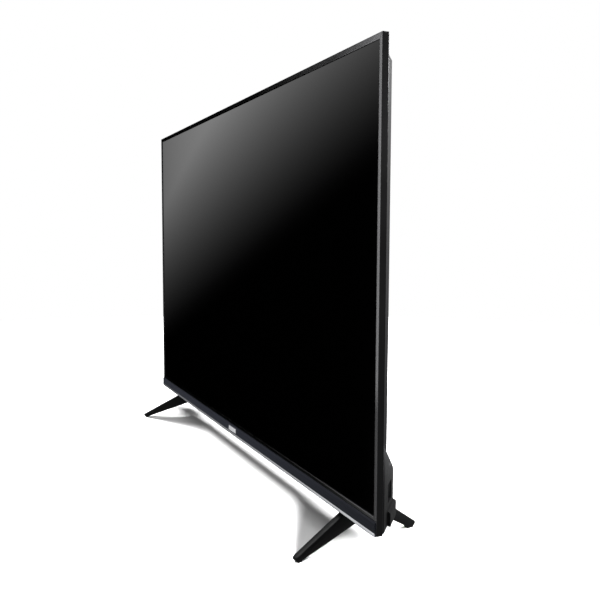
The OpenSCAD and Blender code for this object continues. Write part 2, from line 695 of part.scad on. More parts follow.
// The ribbon's front face in (y, z): it lies along the pan, then passes between speaker and harness
ribbon_gap = 0.6;
ribbon_pass = speaker_z0 + speaker_h + 1.2;
ribbon_front = [[cell_y1, ribbon_z], [flange_y1 + ribbon_gap, ribbon_z], [flange_y1 + ribbon_gap, ledge_top],
    [pan_depth + ribbon_gap, flat_top], [pan_depth + ribbon_gap, ribbon_pass],
    [harness_y + harness_r + 1, ribbon_pass], [ribbon_y, timing_z0 - 1], [ribbon_y, grip_z0]];
ribbon_back = [for (p = ribbon_front) p + ribbon_t * [p[0] == cell_y1 ? 0 : 1, p[1] > ribbon_pass ? 0 : -1]];
module panel_ribbons() color("#d9dbe0") in_set() both_ends()
    along_x(ribbon_x - ribbon_w / 2, ribbon_x + ribbon_w / 2)
        polygon(concat(ribbon_front, [for (i = [len(ribbon_back) - 1 : -1 : 0]) ribbon_back[i]]));
connector_h = 4;
connector_y1 = board_y1 + connector_h;
timing_chip = 18;
module timing_board() color("#1d5a34") in_set() {
    difference() {
        block([-timing_w / 2, board_y0, timing_z0], [timing_w / 2, board_y1, board_z1]);
        board_holes();
    }
    both_ends() block([ribbon_x - ribbon_w / 2 - grip_in, board_y1, grip_z0],
        [ribbon_x + ribbon_w / 2 + grip_in, connector_y1, grip_z0 + grip_h]);
    block([-timing_chip / 2, board_y1, signal_z0 + 1], [timing_chip / 2, board_y1 + chip_t, board_z1 - 3]);
}
signal_rise = 10;
signal_drop = 10;
plug_l = 6;
signal_t = 0.4;
signal_x0 = timing_w / 2 - 2 * plug_l;
plug_in = 4;
signal_x1 = bay_x0 + plug_in;
signal_z0 = timing_z0 + signal_rise;
signal_z1 = board_z1 - signal_drop;
module signal_ribbon() color("#c9ccd2") in_set() {
    block([signal_x0, board_y1, signal_z0], [signal_x0 + plug_l, connector_y1, signal_z1]);
    block([signal_x0 + plug_l, connector_y1 - 1, signal_z0], [signal_x1, connector_y1 - 1 + signal_t, signal_z1]);
    block([signal_x1, board_y1, signal_z0], [signal_x1 + plug_l, connector_y1, signal_z1]);
}

// Standoffs and screws of the three boards and the foot brackets
board_screw_r = 1.5;
post_r = 3.2;
post_in = 6;
post_x = [bay_x0 + post_in, bay_x1 + post_in, board_x1 - 30];
timing_post_x = [timing_w / 2 - post_in, timing_w / 2 - 40];
board_posts = [for (s = [-1, 1], x = post_x, z = [board_z0 + post_in, board_z1 - post_in]) [s * x, z],
    for (s = [-1, 1], x = timing_post_x) [s * x, board_z1 - post_in]];
bracket_t = 3;
bracket_half = 30;
bracket_top = flat_top + 28;
bracket_hole_x = [-18, 18];
bracket_hole_z = bracket_top - 10;
bracket_holes = [for (s = [-1, 1], x = bracket_hole_x) [s * foot_x + x, bracket_hole_z]];
module board_standoffs() color("#c0a050") in_set() for (b = board_posts) difference() {
    rod_y(b[0], b[1], pan_depth, board_y0, post_r);
    rod_y(b[0], b[1], pan_depth - cut, board_y0 + cut, board_screw_r + press);
}
module board_screw(x, z, y, depth) {
    rod_y(x, z, y - depth, y + 0.1, board_screw_r);
    rod_y(x, z, y, y + 2, 2.8);
}
module board_screws() color("#b8bbbf") in_set() {
    for (b = board_posts) board_screw(b[0], b[1], board_y1, board_t + standoff_h - 1);
    for (b = bracket_holes) board_screw(b[0], b[1], pan_depth + bracket_t, bracket_t + pan_t + 0.4);
}
module board_holes() for (b = board_posts)
    rod_y(b[0], b[1], board_y0 - cut, board_y1 + cut, board_screw_r + 2 * press);

// Main board with its chips, heat sink and sockets
module main_board() color("#155c38") in_set() difference() {
    block([bay_x0, board_y0, board_z0], [board_x1, board_y1, board_z1]);
    board_holes();
}
soc_x = (bay_x0 + board_x1) / 2;
soc_z = (board_z0 + board_z1) / 2;
chip_t = 1.5;
module main_chips() color("#141414") in_set() {
    block([soc_x - 12, board_y1, soc_z - 12], [soc_x + 12, board_y1 + chip_t, soc_z + 12]);
    for (x = [34, 50]) block([soc_x + x, board_y1, soc_z - 8], [soc_x + x + 11, board_y1 + chip_t, soc_z + 8]);
    block([soc_x - 46, board_y1, soc_z - 5], [soc_x - 34, board_y1 + chip_t, soc_z + 5]);
}
fin_count = 9;
sink_w = 44;
sink_base = 3;
sink_h = 14;
sink_half = 18;
// Comb of upright fins on a base plate
module fins(width, base, height, count) {
    translate([-width / 2, 0]) square([width, base]);
    for (i = [0 : count - 1]) translate([-width / 2 + (width - 1.4) * i / (count - 1), 0]) square([1.4, height]);
}
module main_heat_sink() color("#9a9da1") in_set() translate([soc_x, board_y1 + chip_t, 0])
    along_z(soc_z - sink_half, soc_z + sink_half) fins(sink_w, sink_base, sink_h, fin_count);

socket_wall = 0.6;
hdmi_x = [bay_x0 + 22, bay_x0 + 44, bay_x0 + 66];
network_x = bay_x0 + 90;
antenna_x = bay_x0 + 112;
audio_x = [bay_x0 + 126, bay_x0 + 135];
usb_z = pocket_z0 + 9;
phone_z = pocket_z0 + 24;
jack_r = 1.75;
hdmi_w = 15;
hdmi_d = 6;
hdmi_h = 12;
module hdmi_socket() difference() {
    block([-hdmi_w / 2, board_y1, socket_z], [hdmi_w / 2, board_y1 + hdmi_d, socket_z + hdmi_h]);
    difference() {
        block([socket_wall - hdmi_w / 2, board_y1 + socket_wall, socket_z - cut],
            [hdmi_w / 2 - socket_wall, board_y1 + hdmi_d - socket_wall, socket_z + hdmi_h - 2]);
        block([2 - hdmi_w / 2, board_y1 + 2.2, socket_z + 1],
            [hdmi_w / 2 - 2, board_y1 + 3.6, socket_z + hdmi_h - 1]);
    }
}
module hdmi_sockets() color("#b5b8bc") in_set() for (x = hdmi_x) translate([x, 0, 0]) hdmi_socket();
side_x = pocket_x - house_wall - fit;
usb_w = 14;
usb_d = 7;
module usb_socket() color("#b5b8bc") in_set() difference() {
    block([side_x - usb_w, board_y1, usb_z - usb_w / 2], [side_x, board_y1 + usb_d, usb_z + usb_w / 2]);
    difference() {
        block([side_x - usb_w + 3, board_y1 + socket_wall, usb_z - usb_w / 2 + socket_wall],
            [pocket_x, board_y1 + usb_d - socket_wall, usb_z + usb_w / 2 - socket_wall]);
        block([side_x - usb_w + 2, board_y1 + 1, usb_z - 5.5], [side_x - 1, board_y1 + 2.6, usb_z + 5.5]);
    }
}
module network_socket() color("#a9acb0") in_set() translate([network_x, 0, 0]) difference() {
    block([-8, board_y1, socket_z], [8, board_y1 + 13.5, socket_z + 21]);
    block([-5.9, board_y1 + 2.5, socket_z - cut], [5.9, board_y1 + 10.5, socket_z + 13]);
}
barrel_r = 4.7;
antenna_y = board_y1 + 7;
module antenna_socket() color("#c8cacc") in_set() difference() {
    union() {
        block([antenna_x - 6, board_y1, socket_z], [antenna_x + 6, board_y1 + 14, socket_z + 12]);
        rod_z(antenna_x, antenna_y, socket_z - 10, socket_z + 0.1, barrel_r);
    }
    rod_z(antenna_x, antenna_y, socket_z - 11, socket_z - 2, 1.2);
}
jack_w = 8;
jack_l = 12;
jack_y = board_y1 + jack_w / 2;
module jack() difference() {
    block([-jack_w / 2, board_y1, 0], [jack_w / 2, board_y1 + jack_w, jack_l]);
    rod_z(0, jack_y, -cut, jack_l - 2, jack_r);
}
module audio_jacks() color("#202226") in_set() {
    for (x = audio_x) translate([x, 0, socket_z]) jack();
    difference() {
        block([side_x - jack_l, board_y1, phone_z - jack_w / 2], [side_x, board_y1 + jack_w, phone_z + jack_w / 2]);
        rod_x(side_x - jack_l + 2, side_x + cut, jack_y, phone_z, jack_r);
    }
}
mains_x = -(mains_x0 + bay_x1) / 2;
mains_y = board_y1 + 7.5;
// Mouths in the bay ceilings and the side pocket, one over each socket
mouth = 0.5;
module socket_mouths() {
    for (x = hdmi_x) block([x - hdmi_w / 2 + mouth, board_y1 + mouth, bay_top - cut],
        [x + hdmi_w / 2 - mouth, board_y1 + hdmi_d - mouth, socket_z]);
    block([network_x - 6.2, board_y1 + 2, bay_top - cut], [network_x + 6.2, board_y1 + 11, socket_z]);
    rod_z(antenna_x, antenna_y, bay_top - cut, socket_z, barrel_r + mouth);
    for (x = audio_x) rod_z(x, jack_y, bay_top - cut, socket_z, jack_r + 1);
    block([mains_x - 9, mains_y - 5, bay_top - cut], [mains_x + 9, mains_y + 5, socket_z]);
    block([pocket_x - house_wall - cut, board_y1 + mouth, usb_z - usb_w / 2 + mouth],
        [pocket_x + cut, board_y1 + usb_d - mouth, usb_z + usb_w / 2 - mouth]);
    rod_x(pocket_x - house_wall - cut, pocket_x + cut, jack_y, phone_z, jack_r + 1);
}
wifi_in = 40;
wifi_rise = 13;
wifi_w = 36;
wifi_h = 22;
wifi_t = 1.2;
shield_t = 2;
module wifi_module() color("#1c5136") in_set() translate([speaker_x1 - wifi_in, 0, lead_z + wifi_rise]) {
    block([-wifi_w / 2, pan_depth, 0], [wifi_w / 2, pan_depth + wifi_t, wifi_h]);
    block([4 - wifi_w / 2, pan_depth + wifi_t, 2], [wifi_w / 6, pan_depth + wifi_t + shield_t, wifi_h - 2]);
}

// Power board with its parts and the mains inlet
module power_board() color("#b58a45") in_set() difference() {
    block([-board_x1, board_y0, board_z0], [-bay_x0, board_y1, board_z1]);
    board_holes();
}
transformer_near = 44;
transformer_far = 160;
transformer_drop = 29;
transformer_x = [-bay_x0 - transformer_near, -bay_x0 - transformer_far];
transformer_z = board_z1 - transformer_drop;
core_w = 34;
core_h = 28;
core_step = 3;
core_foot_h = 6;
coil_h = 12;
core_head_h = 4;
core_y = board_y1 + core_foot_h;
coil_y = core_y + coil_h;
core_top = coil_y + core_head_h;
module transformers() color("#c9a227") in_set() for (x = transformer_x) translate([x, 0, transformer_z]) {
    block([-core_w / 2, board_y1, -core_h / 2], [core_w / 2, core_y, core_h / 2]);
    block([core_step - core_w / 2, core_y, core_step - core_h / 2],
        [core_w / 2 - core_step, coil_y, core_h / 2 - core_step]);
    block([-core_w / 2, coil_y, -core_h / 2], [core_w / 2, core_top, core_h / 2]);
}
capacitor_near = 84;
capacitor_pitch = 20;
capacitor_r = 8;
small_r = 5;
small_h = 14;
small_rise = 14;
module capacitors() color("#26384f") in_set() for (i = [0 : 2])
    translate([-bay_x0 - capacitor_near - i * capacitor_pitch, 0, transformer_z]) {
        rod_y(0, 0, board_y1, core_top, capacitor_r);
        rod_y(0, small_rise, board_y1, board_y1 + small_h, small_r);
    }
blade_near = 66;
blade_far = 138;
blade_half = 16;
blade_h = 20;
blade_t = 2;
blade_foot = 8;
module power_heat_sinks() color("#8f9296") in_set() for (x = [blade_near, blade_far])
    translate([-bay_x0 - x, board_y1, transformer_z]) along_z(-blade_half, blade_half) union() {
        translate([-blade_t / 2, 0]) square([blade_t, blade_h]);
        translate([-blade_foot / 2, 0]) square([blade_foot, blade_t]);
    }
inlet_w = 20;
inlet_d = 13;
inlet_h = 17;
pin_gap = 8.6;
module mains_inlet() color("#0e0e0f") in_set() translate([mains_x, mains_y, socket_z]) difference() {
    block([-inlet_w / 2, -mains_y + board_y1, 0], [inlet_w / 2, inlet_d / 2, inlet_h]);
    difference() {
        along_z(-cut, inlet_h - 4) union() {
            for (s = [-1, 1]) translate([s * pin_gap / 2, 0]) circle(4.1);
            square([pin_gap, 7], center = true);
        }
        for (s = [-1, 1]) rod_z(s * pin_gap / 2, 0, 1, inlet_h - 2, 1.2);
    }
}

// Speakers: a box with two drivers that face down, hung on rubber grommets
ear_x = [speaker_x0 + 12, speaker_x1 - 12];
driver_x = [speaker_x0 + speaker_w * 0.3, speaker_x0 + speaker_w * 0.7];
driver_y = speaker_y0 + speaker_d / 2;
driver_h = 12;
module speaker_box() difference() {
    along_z(speaker_z0, speaker_z0 + speaker_h)
        round_rect([speaker_x0, speaker_y0], [speaker_x1, speaker_y0 + speaker_d], 5);
    for (x = driver_x) rod_z(x, driver_y, speaker_z0 - cut, speaker_z0 + driver_h, driver_r + fit);
    for (x = ear_x) rod_y(x, ear_z - 4, speaker_y0 - cut, speaker_y0 + 8, grommet_r + press);
}
module speaker_box_right() color("#1a1a1b") in_set() speaker_box();
module speaker_box_left() color("#1a1a1b") in_set() mirror([1, 0, 0]) speaker_box();
module speaker_driver() rotate_extrude() polygon([[0, 5], [3.5, 3.5], [driver_r - 3, 1.2], [driver_r - 2, 0],
    [driver_r, 0], [driver_r, 2.5], [driver_r - 3, 4], [8, driver_h - 1], [0, driver_h - 1]]);
module speaker_drivers() color("#3a3b3d") in_set() both_ends() for (x = driver_x)
    translate([x, driver_y, speaker_z0]) speaker_driver();
grommet_r = 4;
module speaker_grommets() color("#101010") in_set() both_ends() for (x = ear_x)
    rod_y(x, ear_z - 4, pan_depth, speaker_y0 + 7, grommet_r);

// Harness and leads, held on the pan by clips
lead_z = speaker_z0 + speaker_h + 4.5;
lead_r = 1.2;
lead_y = pan_depth + lead_r + 0.6;
module rod_x(x0, x1, y, z, r) translate([x0, y, z]) rotate([0, 90, 0]) cylinder(h = x1 - x0, r = r);
plug_x = bay_x0 + 14;
plug_w = 12;
lead_plug_w = 8;
lead_rise = 8;
module power_harness() color("#a33327") in_set() {
    rod_x(-plug_x, plug_x, harness_y, lead_z, harness_r);
    both_ends() block([plug_x, harness_y - 2, lead_z - 4], [plug_x + plug_w, board_y0, lead_z + 4]);
}
module speaker_leads() color("#202020") in_set() {
    rod_x(-speaker_x1 + 20, plug_x, lead_y, lead_z + lead_rise, lead_r);
    block([plug_x, lead_y - 1, lead_z + lead_rise - 2], [plug_x + lead_plug_w, board_y0, lead_z + lead_rise + 3]);
    both_ends() block([speaker_x1 - 24, lead_y - 1, speaker_z0 + speaker_h],
        [speaker_x1 - 18, lead_y + 5, lead_z - harness_r - fit]);
}
clip_x = [timing_w / 2 + 20, speaker_x1 - 60];
module cable_clips() color("#e6e6e2") in_set() both_ends() for (x = clip_x) difference() {
    block([x - 3, pan_depth, lead_z - harness_r - 1.5], [x + 3, harness_y + harness_r + 1.5, lead_z + lead_rise + 3]);
    rod_x(x - 4, x + 4, harness_y, lead_z, harness_r + press);
    rod_x(x - 4, x + 4, lead_y, lead_z + lead_rise, lead_r + press);
}

// Infra-red board under the middle, with its lens and the power button's switch
ir_post_x = 34;
ir_lens_x = 22;
ir_lens_r = 4;
switch_z = floor_z + 3.2;
button_top = floor_z + 1.8;
plunger_r = 1.6;
module ir_board() color("#17492c") in_set() {
    block([-40, button_y - 8, ir_z], [40, button_y + 10, ir_z + board_t]);
    block([ir_lens_x - 3, button_y - 3, ir_z - 3], [ir_lens_x + 3, button_y + 3, ir_z]);
}
module ir_lens() color("#2a0d12") in_set() {
    rod_z(ir_lens_x, button_y, house_z0 - 2.5, floor_z + 1, ir_lens_r);
    rod_z(ir_lens_x, button_y, floor_z, floor_z + 1.2, ir_lens_r + 1.5);
}
module power_button() color("#101113") in_set() {
    rod_z(0, button_y, house_z0 - 1.6, button_top, button_r);
    rod_z(0, button_y, floor_z + 0.2, floor_z + 1.2, button_r + 1.2);
}
module switch_body() color("#2a2a2c") in_set() difference() {
    block([-3, button_y - 3, switch_z], [3, button_y + 3, ir_z]);
    rod_z(0, button_y, switch_z - cut, ir_z - 0.3, plunger_r + 0.1);
}
module switch_plunger() color("#8c2f2f") in_set()
    rod_z(0, button_y, button_top, ir_z - 0.5 - button_travel, plunger_r);

// Foot brackets: a bent plate on the pan that takes the foot screws
bracket_z0 = root_top - foot_h + 0.2;
bracket_x0 = foot_x - bracket_half;
bracket_x1 = foot_x + bracket_half;
bracket_y1 = house_depth - house_wall - fit;
gusset_y1 = bracket_y1 - 4;
gusset_top = pad_top - 2;
module foot_bracket() difference() {
    union() {
        block([bracket_x0, pan_depth, bracket_z0], [bracket_x1, bracket_y1, bracket_z0 + bracket_t]);
        block([bracket_x0, pan_depth, bracket_z0], [bracket_x1, pan_depth + bracket_t, bracket_top]);
        for (x = [bracket_x0, bracket_x1 - bracket_t]) along_x(x, x + bracket_t)
            polygon([[pan_depth, bracket_z0], [gusset_y1, bracket_z0], [gusset_y1, bracket_z0 + 8],
                [pan_depth + 10, gusset_top], [pan_depth, gusset_top]]);
    }
    at_foot_in_set() for (s = screw_s) rod_z(0, s, 0, bracket_z0 + bracket_t + cut, foot_screw_r + press);
    for (x = bracket_hole_x)
        rod_y(foot_x + x, bracket_hole_z, pan_depth - cut, pan_depth + bracket_t + cut, board_screw_r + press);
}
module foot_bracket_right() color("#7d8084") in_set() foot_bracket();
module foot_bracket_left() color("#7d8084") in_set() mirror([1, 0, 0]) foot_bracket();
foot_screw_tip = 1.5;
module foot_screws() color("#2c2d30") both_ends() at_foot() for (s = screw_s) {
    rod_z(0, s, seat_z - foot_head_h, seat_z, foot_head_r);
    rod_z(0, s, seat_z - press, foot_h + bracket_z0 + bracket_t + foot_screw_tip, foot_screw_r);
}

bezel_top();
bezel_left();
bezel_right();
bezel_bottom();
corner_keys();
chin_bar();
chin_trim();
chin_plate();
lcd_panel();
panel_gasket();
middle_frame();
optical_films();
diffuser_plate();
reflector_sheet();
led_strips();
led_lenses();
cof_films();
source_boards();
diffuser_posts();
back_chassis();
wall_mount_nuts();
lower_cover();
cover_screws();
foot_bracket_left();
foot_bracket_right();
foot_left();
foot_right();
foot_pads();
foot_screws();
main_board();
main_chips();
main_heat_sink();
hdmi_sockets();
usb_socket();
network_socket();
antenna_socket();
audio_jacks();
wifi_module();
power_board();
transformers();
capacitors();
power_heat_sinks();
mains_inlet();
timing_board();
board_standoffs();
board_screws();
speaker_box_left();
speaker_box_right();
speaker_drivers();
speaker_grommets();
panel_ribbons();
signal_ribbon();
power_harness();
speaker_leads();
cable_clips();
ir_board();
ir_lens();
power_button();
switch_body();
switch_plunger();
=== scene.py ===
# %% [markdown]
# # A flat screen television on two splayed feet
# The solids of the set come from its CAD model and stay where they are. This lesson gives them their
# looks: a camera where the photographer stood, a plain white studio, a finish for every piece, and a
# few pieces remodelled with softer edges than the solids have.

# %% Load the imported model
import json
import math

import bmesh
import bpy
from mathutils import Matrix, Vector


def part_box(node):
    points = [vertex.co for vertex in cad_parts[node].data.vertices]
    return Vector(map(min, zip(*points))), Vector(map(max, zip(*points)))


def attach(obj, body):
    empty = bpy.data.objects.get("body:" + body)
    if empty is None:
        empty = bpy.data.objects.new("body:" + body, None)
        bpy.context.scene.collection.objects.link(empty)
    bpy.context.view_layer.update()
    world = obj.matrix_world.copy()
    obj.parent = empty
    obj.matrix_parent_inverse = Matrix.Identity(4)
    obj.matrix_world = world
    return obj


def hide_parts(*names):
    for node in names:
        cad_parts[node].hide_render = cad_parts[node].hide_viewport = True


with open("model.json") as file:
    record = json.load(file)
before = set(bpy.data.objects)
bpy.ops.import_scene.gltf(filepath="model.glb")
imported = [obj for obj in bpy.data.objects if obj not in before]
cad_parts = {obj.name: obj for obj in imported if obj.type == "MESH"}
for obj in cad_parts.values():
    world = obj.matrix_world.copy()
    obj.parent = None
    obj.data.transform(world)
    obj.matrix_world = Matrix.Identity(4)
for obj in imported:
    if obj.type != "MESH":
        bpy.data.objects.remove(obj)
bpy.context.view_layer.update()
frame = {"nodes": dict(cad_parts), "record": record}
NODES = frame["nodes"]
SLOT_OF = {row["node"]: row["material_slot"] for row in frame["record"]["subparts"]}
MM = 0.001

# %% [markdown]
# ## The camera
# The photograph looks at the set from its right, a little above its middle. A camera could be placed by
# eye, but its place, turn and lens were worked out from the corners of the bezel and the chin, so the
# render can be laid over the photograph.

# %% Camera
CAMERA_PLACE = (1.5142, -0.5764, 0.4951)
CAMERA_YAW = math.radians(65.42)
CAMERA_PITCH = math.radians(4.68)
CAMERA_ROLL = math.radians(0.22)
LENS_MM = 44.418
SENSOR_MM = 36.0
CLIP_FAR = 100.0

bpy.ops.object.select_all(action="DESELECT")
bpy.ops.object.camera_add(location=CAMERA_PLACE)
camera = bpy.context.object
camera.name = "photo_camera"
turn = (Matrix.Rotation(CAMERA_YAW, 3, "Z") @ Matrix.Rotation(math.pi / 2 - CAMERA_PITCH, 3, "X")
        @ Matrix.Rotation(CAMERA_ROLL, 3, "Z"))
camera.rotation_euler = turn.to_euler()
camera.data.lens = LENS_MM
camera.data.sensor_width = SENSOR_MM
camera.data.clip_end = CLIP_FAR
bpy.context.scene.camera = camera
print("camera at", CAMERA_PLACE, "lens", LENS_MM)

# %% [markdown]
# ## The studio
# Everything round the set is white and bright, yet black plastic has to stay black. A bright room would
# turn it grey, so the world shows white only to the camera and lights the set dimly. The floor is a plain
# pale disc that throws no light back on the set. The Standard view transform keeps white at white.

# %% World
WORLD_LIGHT = 0.22
WORLD_SHOWN = 1.0


def put(tree, kind, values=None, **settings):
    """Add a shader node, set its properties and its unlinked sockets."""
    node = tree.nodes.new("ShaderNode" + kind)
    for key, value in settings.items():
        setattr(node, key, value)
    for socket, value in (values or {}).items():
        node.inputs[socket].default_value = value
    return node


scene = bpy.context.scene
scene.view_settings.view_transform = "Standard"
world = bpy.data.worlds.new("studio_world")
scene.world = world
world.use_nodes = True
world_tree = world.node_tree
background = world_tree.nodes["Background"]
background.inputs["Color"].default_value = (1.0, 1.0, 1.0, 1.0)
seen = put(world_tree, "LightPath")
level = put(world_tree, "MapRange", {"To Min": WORLD_LIGHT, "To Max": WORLD_SHOWN})
world_tree.links.new(seen.outputs["Is Camera Ray"], level.inputs["Value"])
world_tree.links.new(level.outputs["Result"], background.inputs["Strength"])
print("the world lights the set with", WORLD_LIGHT)

# %% Floor
FLOOR_RADIUS = 3.2
FLOOR_SIDES = 96
FLOOR_GREY = 0.82
FLOOR_ROUGH = 0.9

floor_paint = bpy.data.materials.new("floor_paint")
floor_paint.use_nodes = True
floor_shader = floor_paint.node_tree.nodes["Principled BSDF"]
floor_shader.inputs["Base Color"].default_value = (FLOOR_GREY, FLOOR_GREY, FLOOR_GREY, 1)
floor_shader.inputs["Roughness"].default_value = FLOOR_ROUGH

bpy.ops.object.select_all(action="DESELECT")
bpy.ops.mesh.primitive_circle_add(vertices=FLOOR_SIDES, radius=FLOOR_RADIUS, fill_type="NGON",
                                  location=(0, 0, 0))
floor = bpy.context.object
floor.name = "studio_floor"
floor.visible_glossy = False
floor.visible_diffuse = False
floor.data.materials.append(floor_paint)
print("studio floor", 2 * FLOOR_RADIUS, "m across")

# %% [markdown]
# ### Lamps for the set and for the floor
# One broad soft lamp overhead lights the set and spares the floor. A second one reaches only the floor and
# burns it out to white, which leaves a narrow streak of shadow under the set. One lamp could do both, but
# it would turn the black plastic grey. A small wash lamp clears the streak to the right of the near foot.

# %% Overhead, floor and wash lamps


def lamp(name, place, aim, size, power, cone=None):
    """A soft lamp at a place, turned towards a point; a cone in degrees keeps its light together."""
    bpy.ops.object.light_add(type="AREA", location=place)
    light = bpy.context.object
    light.name = name
    light.data.shape = "RECTANGLE"
    light.data.size = size[0]
    light.data.size_y = size[1]
    light.data.energy = power
    if cone:
        light.data.spread = math.radians(cone)
    light.rotation_euler = (Vector(aim) - Vector(place)).to_track_quat("-Z", "Y").to_euler()
    return light


def light_only(source, *receivers):
    """Let a lamp or a glowing card reach only some objects; returns their group."""
    group = bpy.data.collections.new(source.name + "_receivers")
    for receiver in receivers:
        group.objects.link(receiver)
    source.light_linking.receiver_collection = group
    return group


def spare(source, *others):
    """Let a lamp reach everything but some objects."""
    group = bpy.data.collections.new(source.name + "_spared")
    for other in others:
        group.objects.link(other)
    for row in group.collection_objects:
        row.light_linking.link_state = "EXCLUDE"
    source.light_linking.receiver_collection = group


overhead_lamp = lamp("overhead_lamp", place=(0.0, -0.2, 3.2), aim=(0, 0, 0), size=(3.6, 3.0), power=120.0)
spare(overhead_lamp, floor)
floor_lamp = lamp("floor_lamp", place=(0.9, -0.75, 3.2), aim=(0.0, -0.75, 0.0), size=(3.3, 4.6),
                  power=1150.0)
light_only(floor_lamp, floor)
wash_lamp = lamp("wash_lamp", place=(0.578, 0.02, 0.30), aim=(0.568, 0.02, 0.0), size=(0.08, 0.08),
                 power=0.55, cone=40.0)
wash_lamp.data.use_shadow = False
light_only(wash_lamp, floor)
print("lamps of", overhead_lamp.data.energy, "W for the set and", floor_lamp.data.energy, "W for the floor")

# %% [markdown]
# ### Flags beside the feet
# A soft grey wedge of shadow lies beside each foot, towards the set's middle. A photographer would hold a
# flag into the light, a small card that stays out of the picture. These two are triangles that rise from a
# foot's front tip, and only shadows see them.

# %% Flags
FLAG_CORNERS = ((0.508, -0.125, 0.004), (0.264, -0.042, 0.070), (0.455, 0.0, 0.040))


def flag(name, side):
    """A small card beside a foot that nothing sees but the lamps' shadows."""
    bpy.ops.mesh.primitive_circle_add(vertices=len(FLAG_CORNERS), fill_type="NGON")
    sheet = bpy.context.object
    sheet.name = name
    for vertex, corner in zip(sheet.data.vertices, FLAG_CORNERS):
        vertex.co = (side * corner[0], corner[1], corner[2])
    sheet.visible_camera = False
    sheet.visible_diffuse = False
    sheet.visible_glossy = False
    sheet.visible_transmission = False


flag("right_flag", 1)
flag("left_flag", -1)
print("a flag beside each foot, up to", FLAG_CORNERS[1][2], "m high")

# %% [markdown]
# ## A card for the screen to reflect
# A glossy screen shows what stands in front of it. The photograph has a grey veil over the upper left of
# the glass that fades along a diagonal. Painted on the glass, it would stay when the view changes, so a
# graded card stands where the mirror image of the camera looks, as in a studio, and only the glass sees it.

# %% Graded card
CARD_X = -3.0


def card(name, y0, y1, z0, z1, x):
    """An upright card across the X axis that shows in reflections only."""
    bpy.ops.mesh.primitive_plane_add(size=1.0, location=(0, 0, 0))
    sheet = bpy.context.object
    sheet.name = name
    for vertex in sheet.data.vertices:
        across, up = vertex.co.x + 0.5, vertex.co.y + 0.5
        vertex.co = (x, y0 + (y1 - y0) * across, z0 + (z1 - z0) * up)
    sheet.visible_camera = False
    sheet.visible_diffuse = False
    sheet.visible_shadow = False
    sheet.visible_transmission = False
    return sheet


graded = card("graded_card", y0=-2.24, y1=0.6, z0=-3.0, z1=3.0, x=CARD_X)
print("graded card at x =", CARD_X)

# %% [markdown]
# The card glows along a slanted ramp: the light grows with height and across the card, a power bends it,
# and a second slope holds it down towards the rear. A picture could hold such a ramp, but a few numbers
# say it without one.

# %% Light of the graded card
VEIL_BASE = 0.569
VEIL_ACROSS = 0.642
VEIL_RISE = 0.843
VEIL_CURVE = 2.2
VEIL_CAP = -0.62
VEIL_CAP_ACROSS = -1.7


def glow(name):
    """A material that only gives off light; returns it with its emission node."""
    material = bpy.data.materials.new(name)
    material.use_nodes = True
    tree = material.node_tree
    tree.nodes.remove(tree.nodes["Principled BSDF"])
    emission = put(tree, "Emission")
    tree.links.new(emission.outputs["Emission"], tree.nodes["Material Output"].inputs["Surface"])
    return material, emission


veil, veil_light = glow("veil_light")
veil_tree = veil.node_tree
where = put(veil_tree, "TexCoord")
split = put(veil_tree, "SeparateXYZ")
veil_tree.links.new(where.outputs["Object"], split.inputs["Vector"])
rise = put(veil_tree, "Math", {1: VEIL_RISE, 2: VEIL_BASE}, operation="MULTIPLY_ADD")
veil_tree.links.new(split.outputs["Z"], rise.inputs[0])
ramp = put(veil_tree, "Math", {1: VEIL_ACROSS}, operation="MULTIPLY_ADD", use_clamp=True)
veil_tree.links.new(split.outputs["Y"], ramp.inputs[0])
veil_tree.links.new(rise.outputs["Value"], ramp.inputs[2])
curve = put(veil_tree, "Math", {1: VEIL_CURVE}, operation="POWER")
veil_tree.links.new(ramp.outputs["Value"], curve.inputs[0])
cap = put(veil_tree, "Math", {1: VEIL_CAP_ACROSS, 2: VEIL_CAP}, operation="MULTIPLY_ADD")
veil_tree.links.new(split.outputs["Y"], cap.inputs[0])
capped = put(veil_tree, "Math", operation="MINIMUM")
veil_tree.links.new(curve.outputs["Value"], capped.inputs[0])
veil_tree.links.new(cap.outputs["Value"], capped.inputs[1])
veil_tree.links.new(capped.outputs["Value"], veil_light.inputs["Strength"])
graded.data.materials.append(veil)
light_only(graded, NODES["lcd_panel"])
print("the veil's ramp grows by", VEIL_RISE, "for each metre of height")

# %% [markdown]
# ### Lamps for single pieces
# The rails carry a pale glint, strong above and weak below, so two lamps that only they and the trim see
# stand in front, far off to the left. The chin, the trim, the pan and the housing get soft lamps of their
# own, as each has its own brightness in the photograph, and a brighter room would change them all at once.

# %% Lamps for rails, chin, pan, housing and trim
SIDES = ("top", "right", "bottom", "left")
RAILS = [NODES["bezel_" + side] for side in SIDES]

rail_lamp = lamp("rail_lamp", place=(-2.9, -3.45, 1.275), aim=(0.0, -3.45, 1.275), size=(2.8, 3.75),
                 power=43.0)
rail_low_lamp = lamp("rail_low_lamp", place=(-2.9, -3.45, -1.525), aim=(0.0, -3.45, -1.525),
                     size=(2.8, 2.05), power=5.3)
rail_group = light_only(rail_lamp, *RAILS, NODES["chin_trim"])
rail_low_group = light_only(rail_low_lamp, *RAILS, NODES["chin_trim"])
chin_lamp = lamp("chin_lamp", place=(-1.1, -2.6, 0.9), aim=(-0.65, -0.05, 0.08), size=(2.0, 1.2),
                 power=17.0, cone=36.0)
chin_group = light_only(chin_lamp, NODES["chin_bar"])
back_lamp = lamp("back_lamp", place=(1.6, 2.8, 2.2), aim=(0.1, 0.0, 0.4), size=(2.4, 2.0), power=170.0)
spare(back_lamp, floor, NODES["lower_cover"])
cover_lamp = lamp("cover_lamp", place=(0.7, 1.5, 3.0), aim=(0.0, 0.05, 0.1), size=(1.6, 1.6), power=10.0)
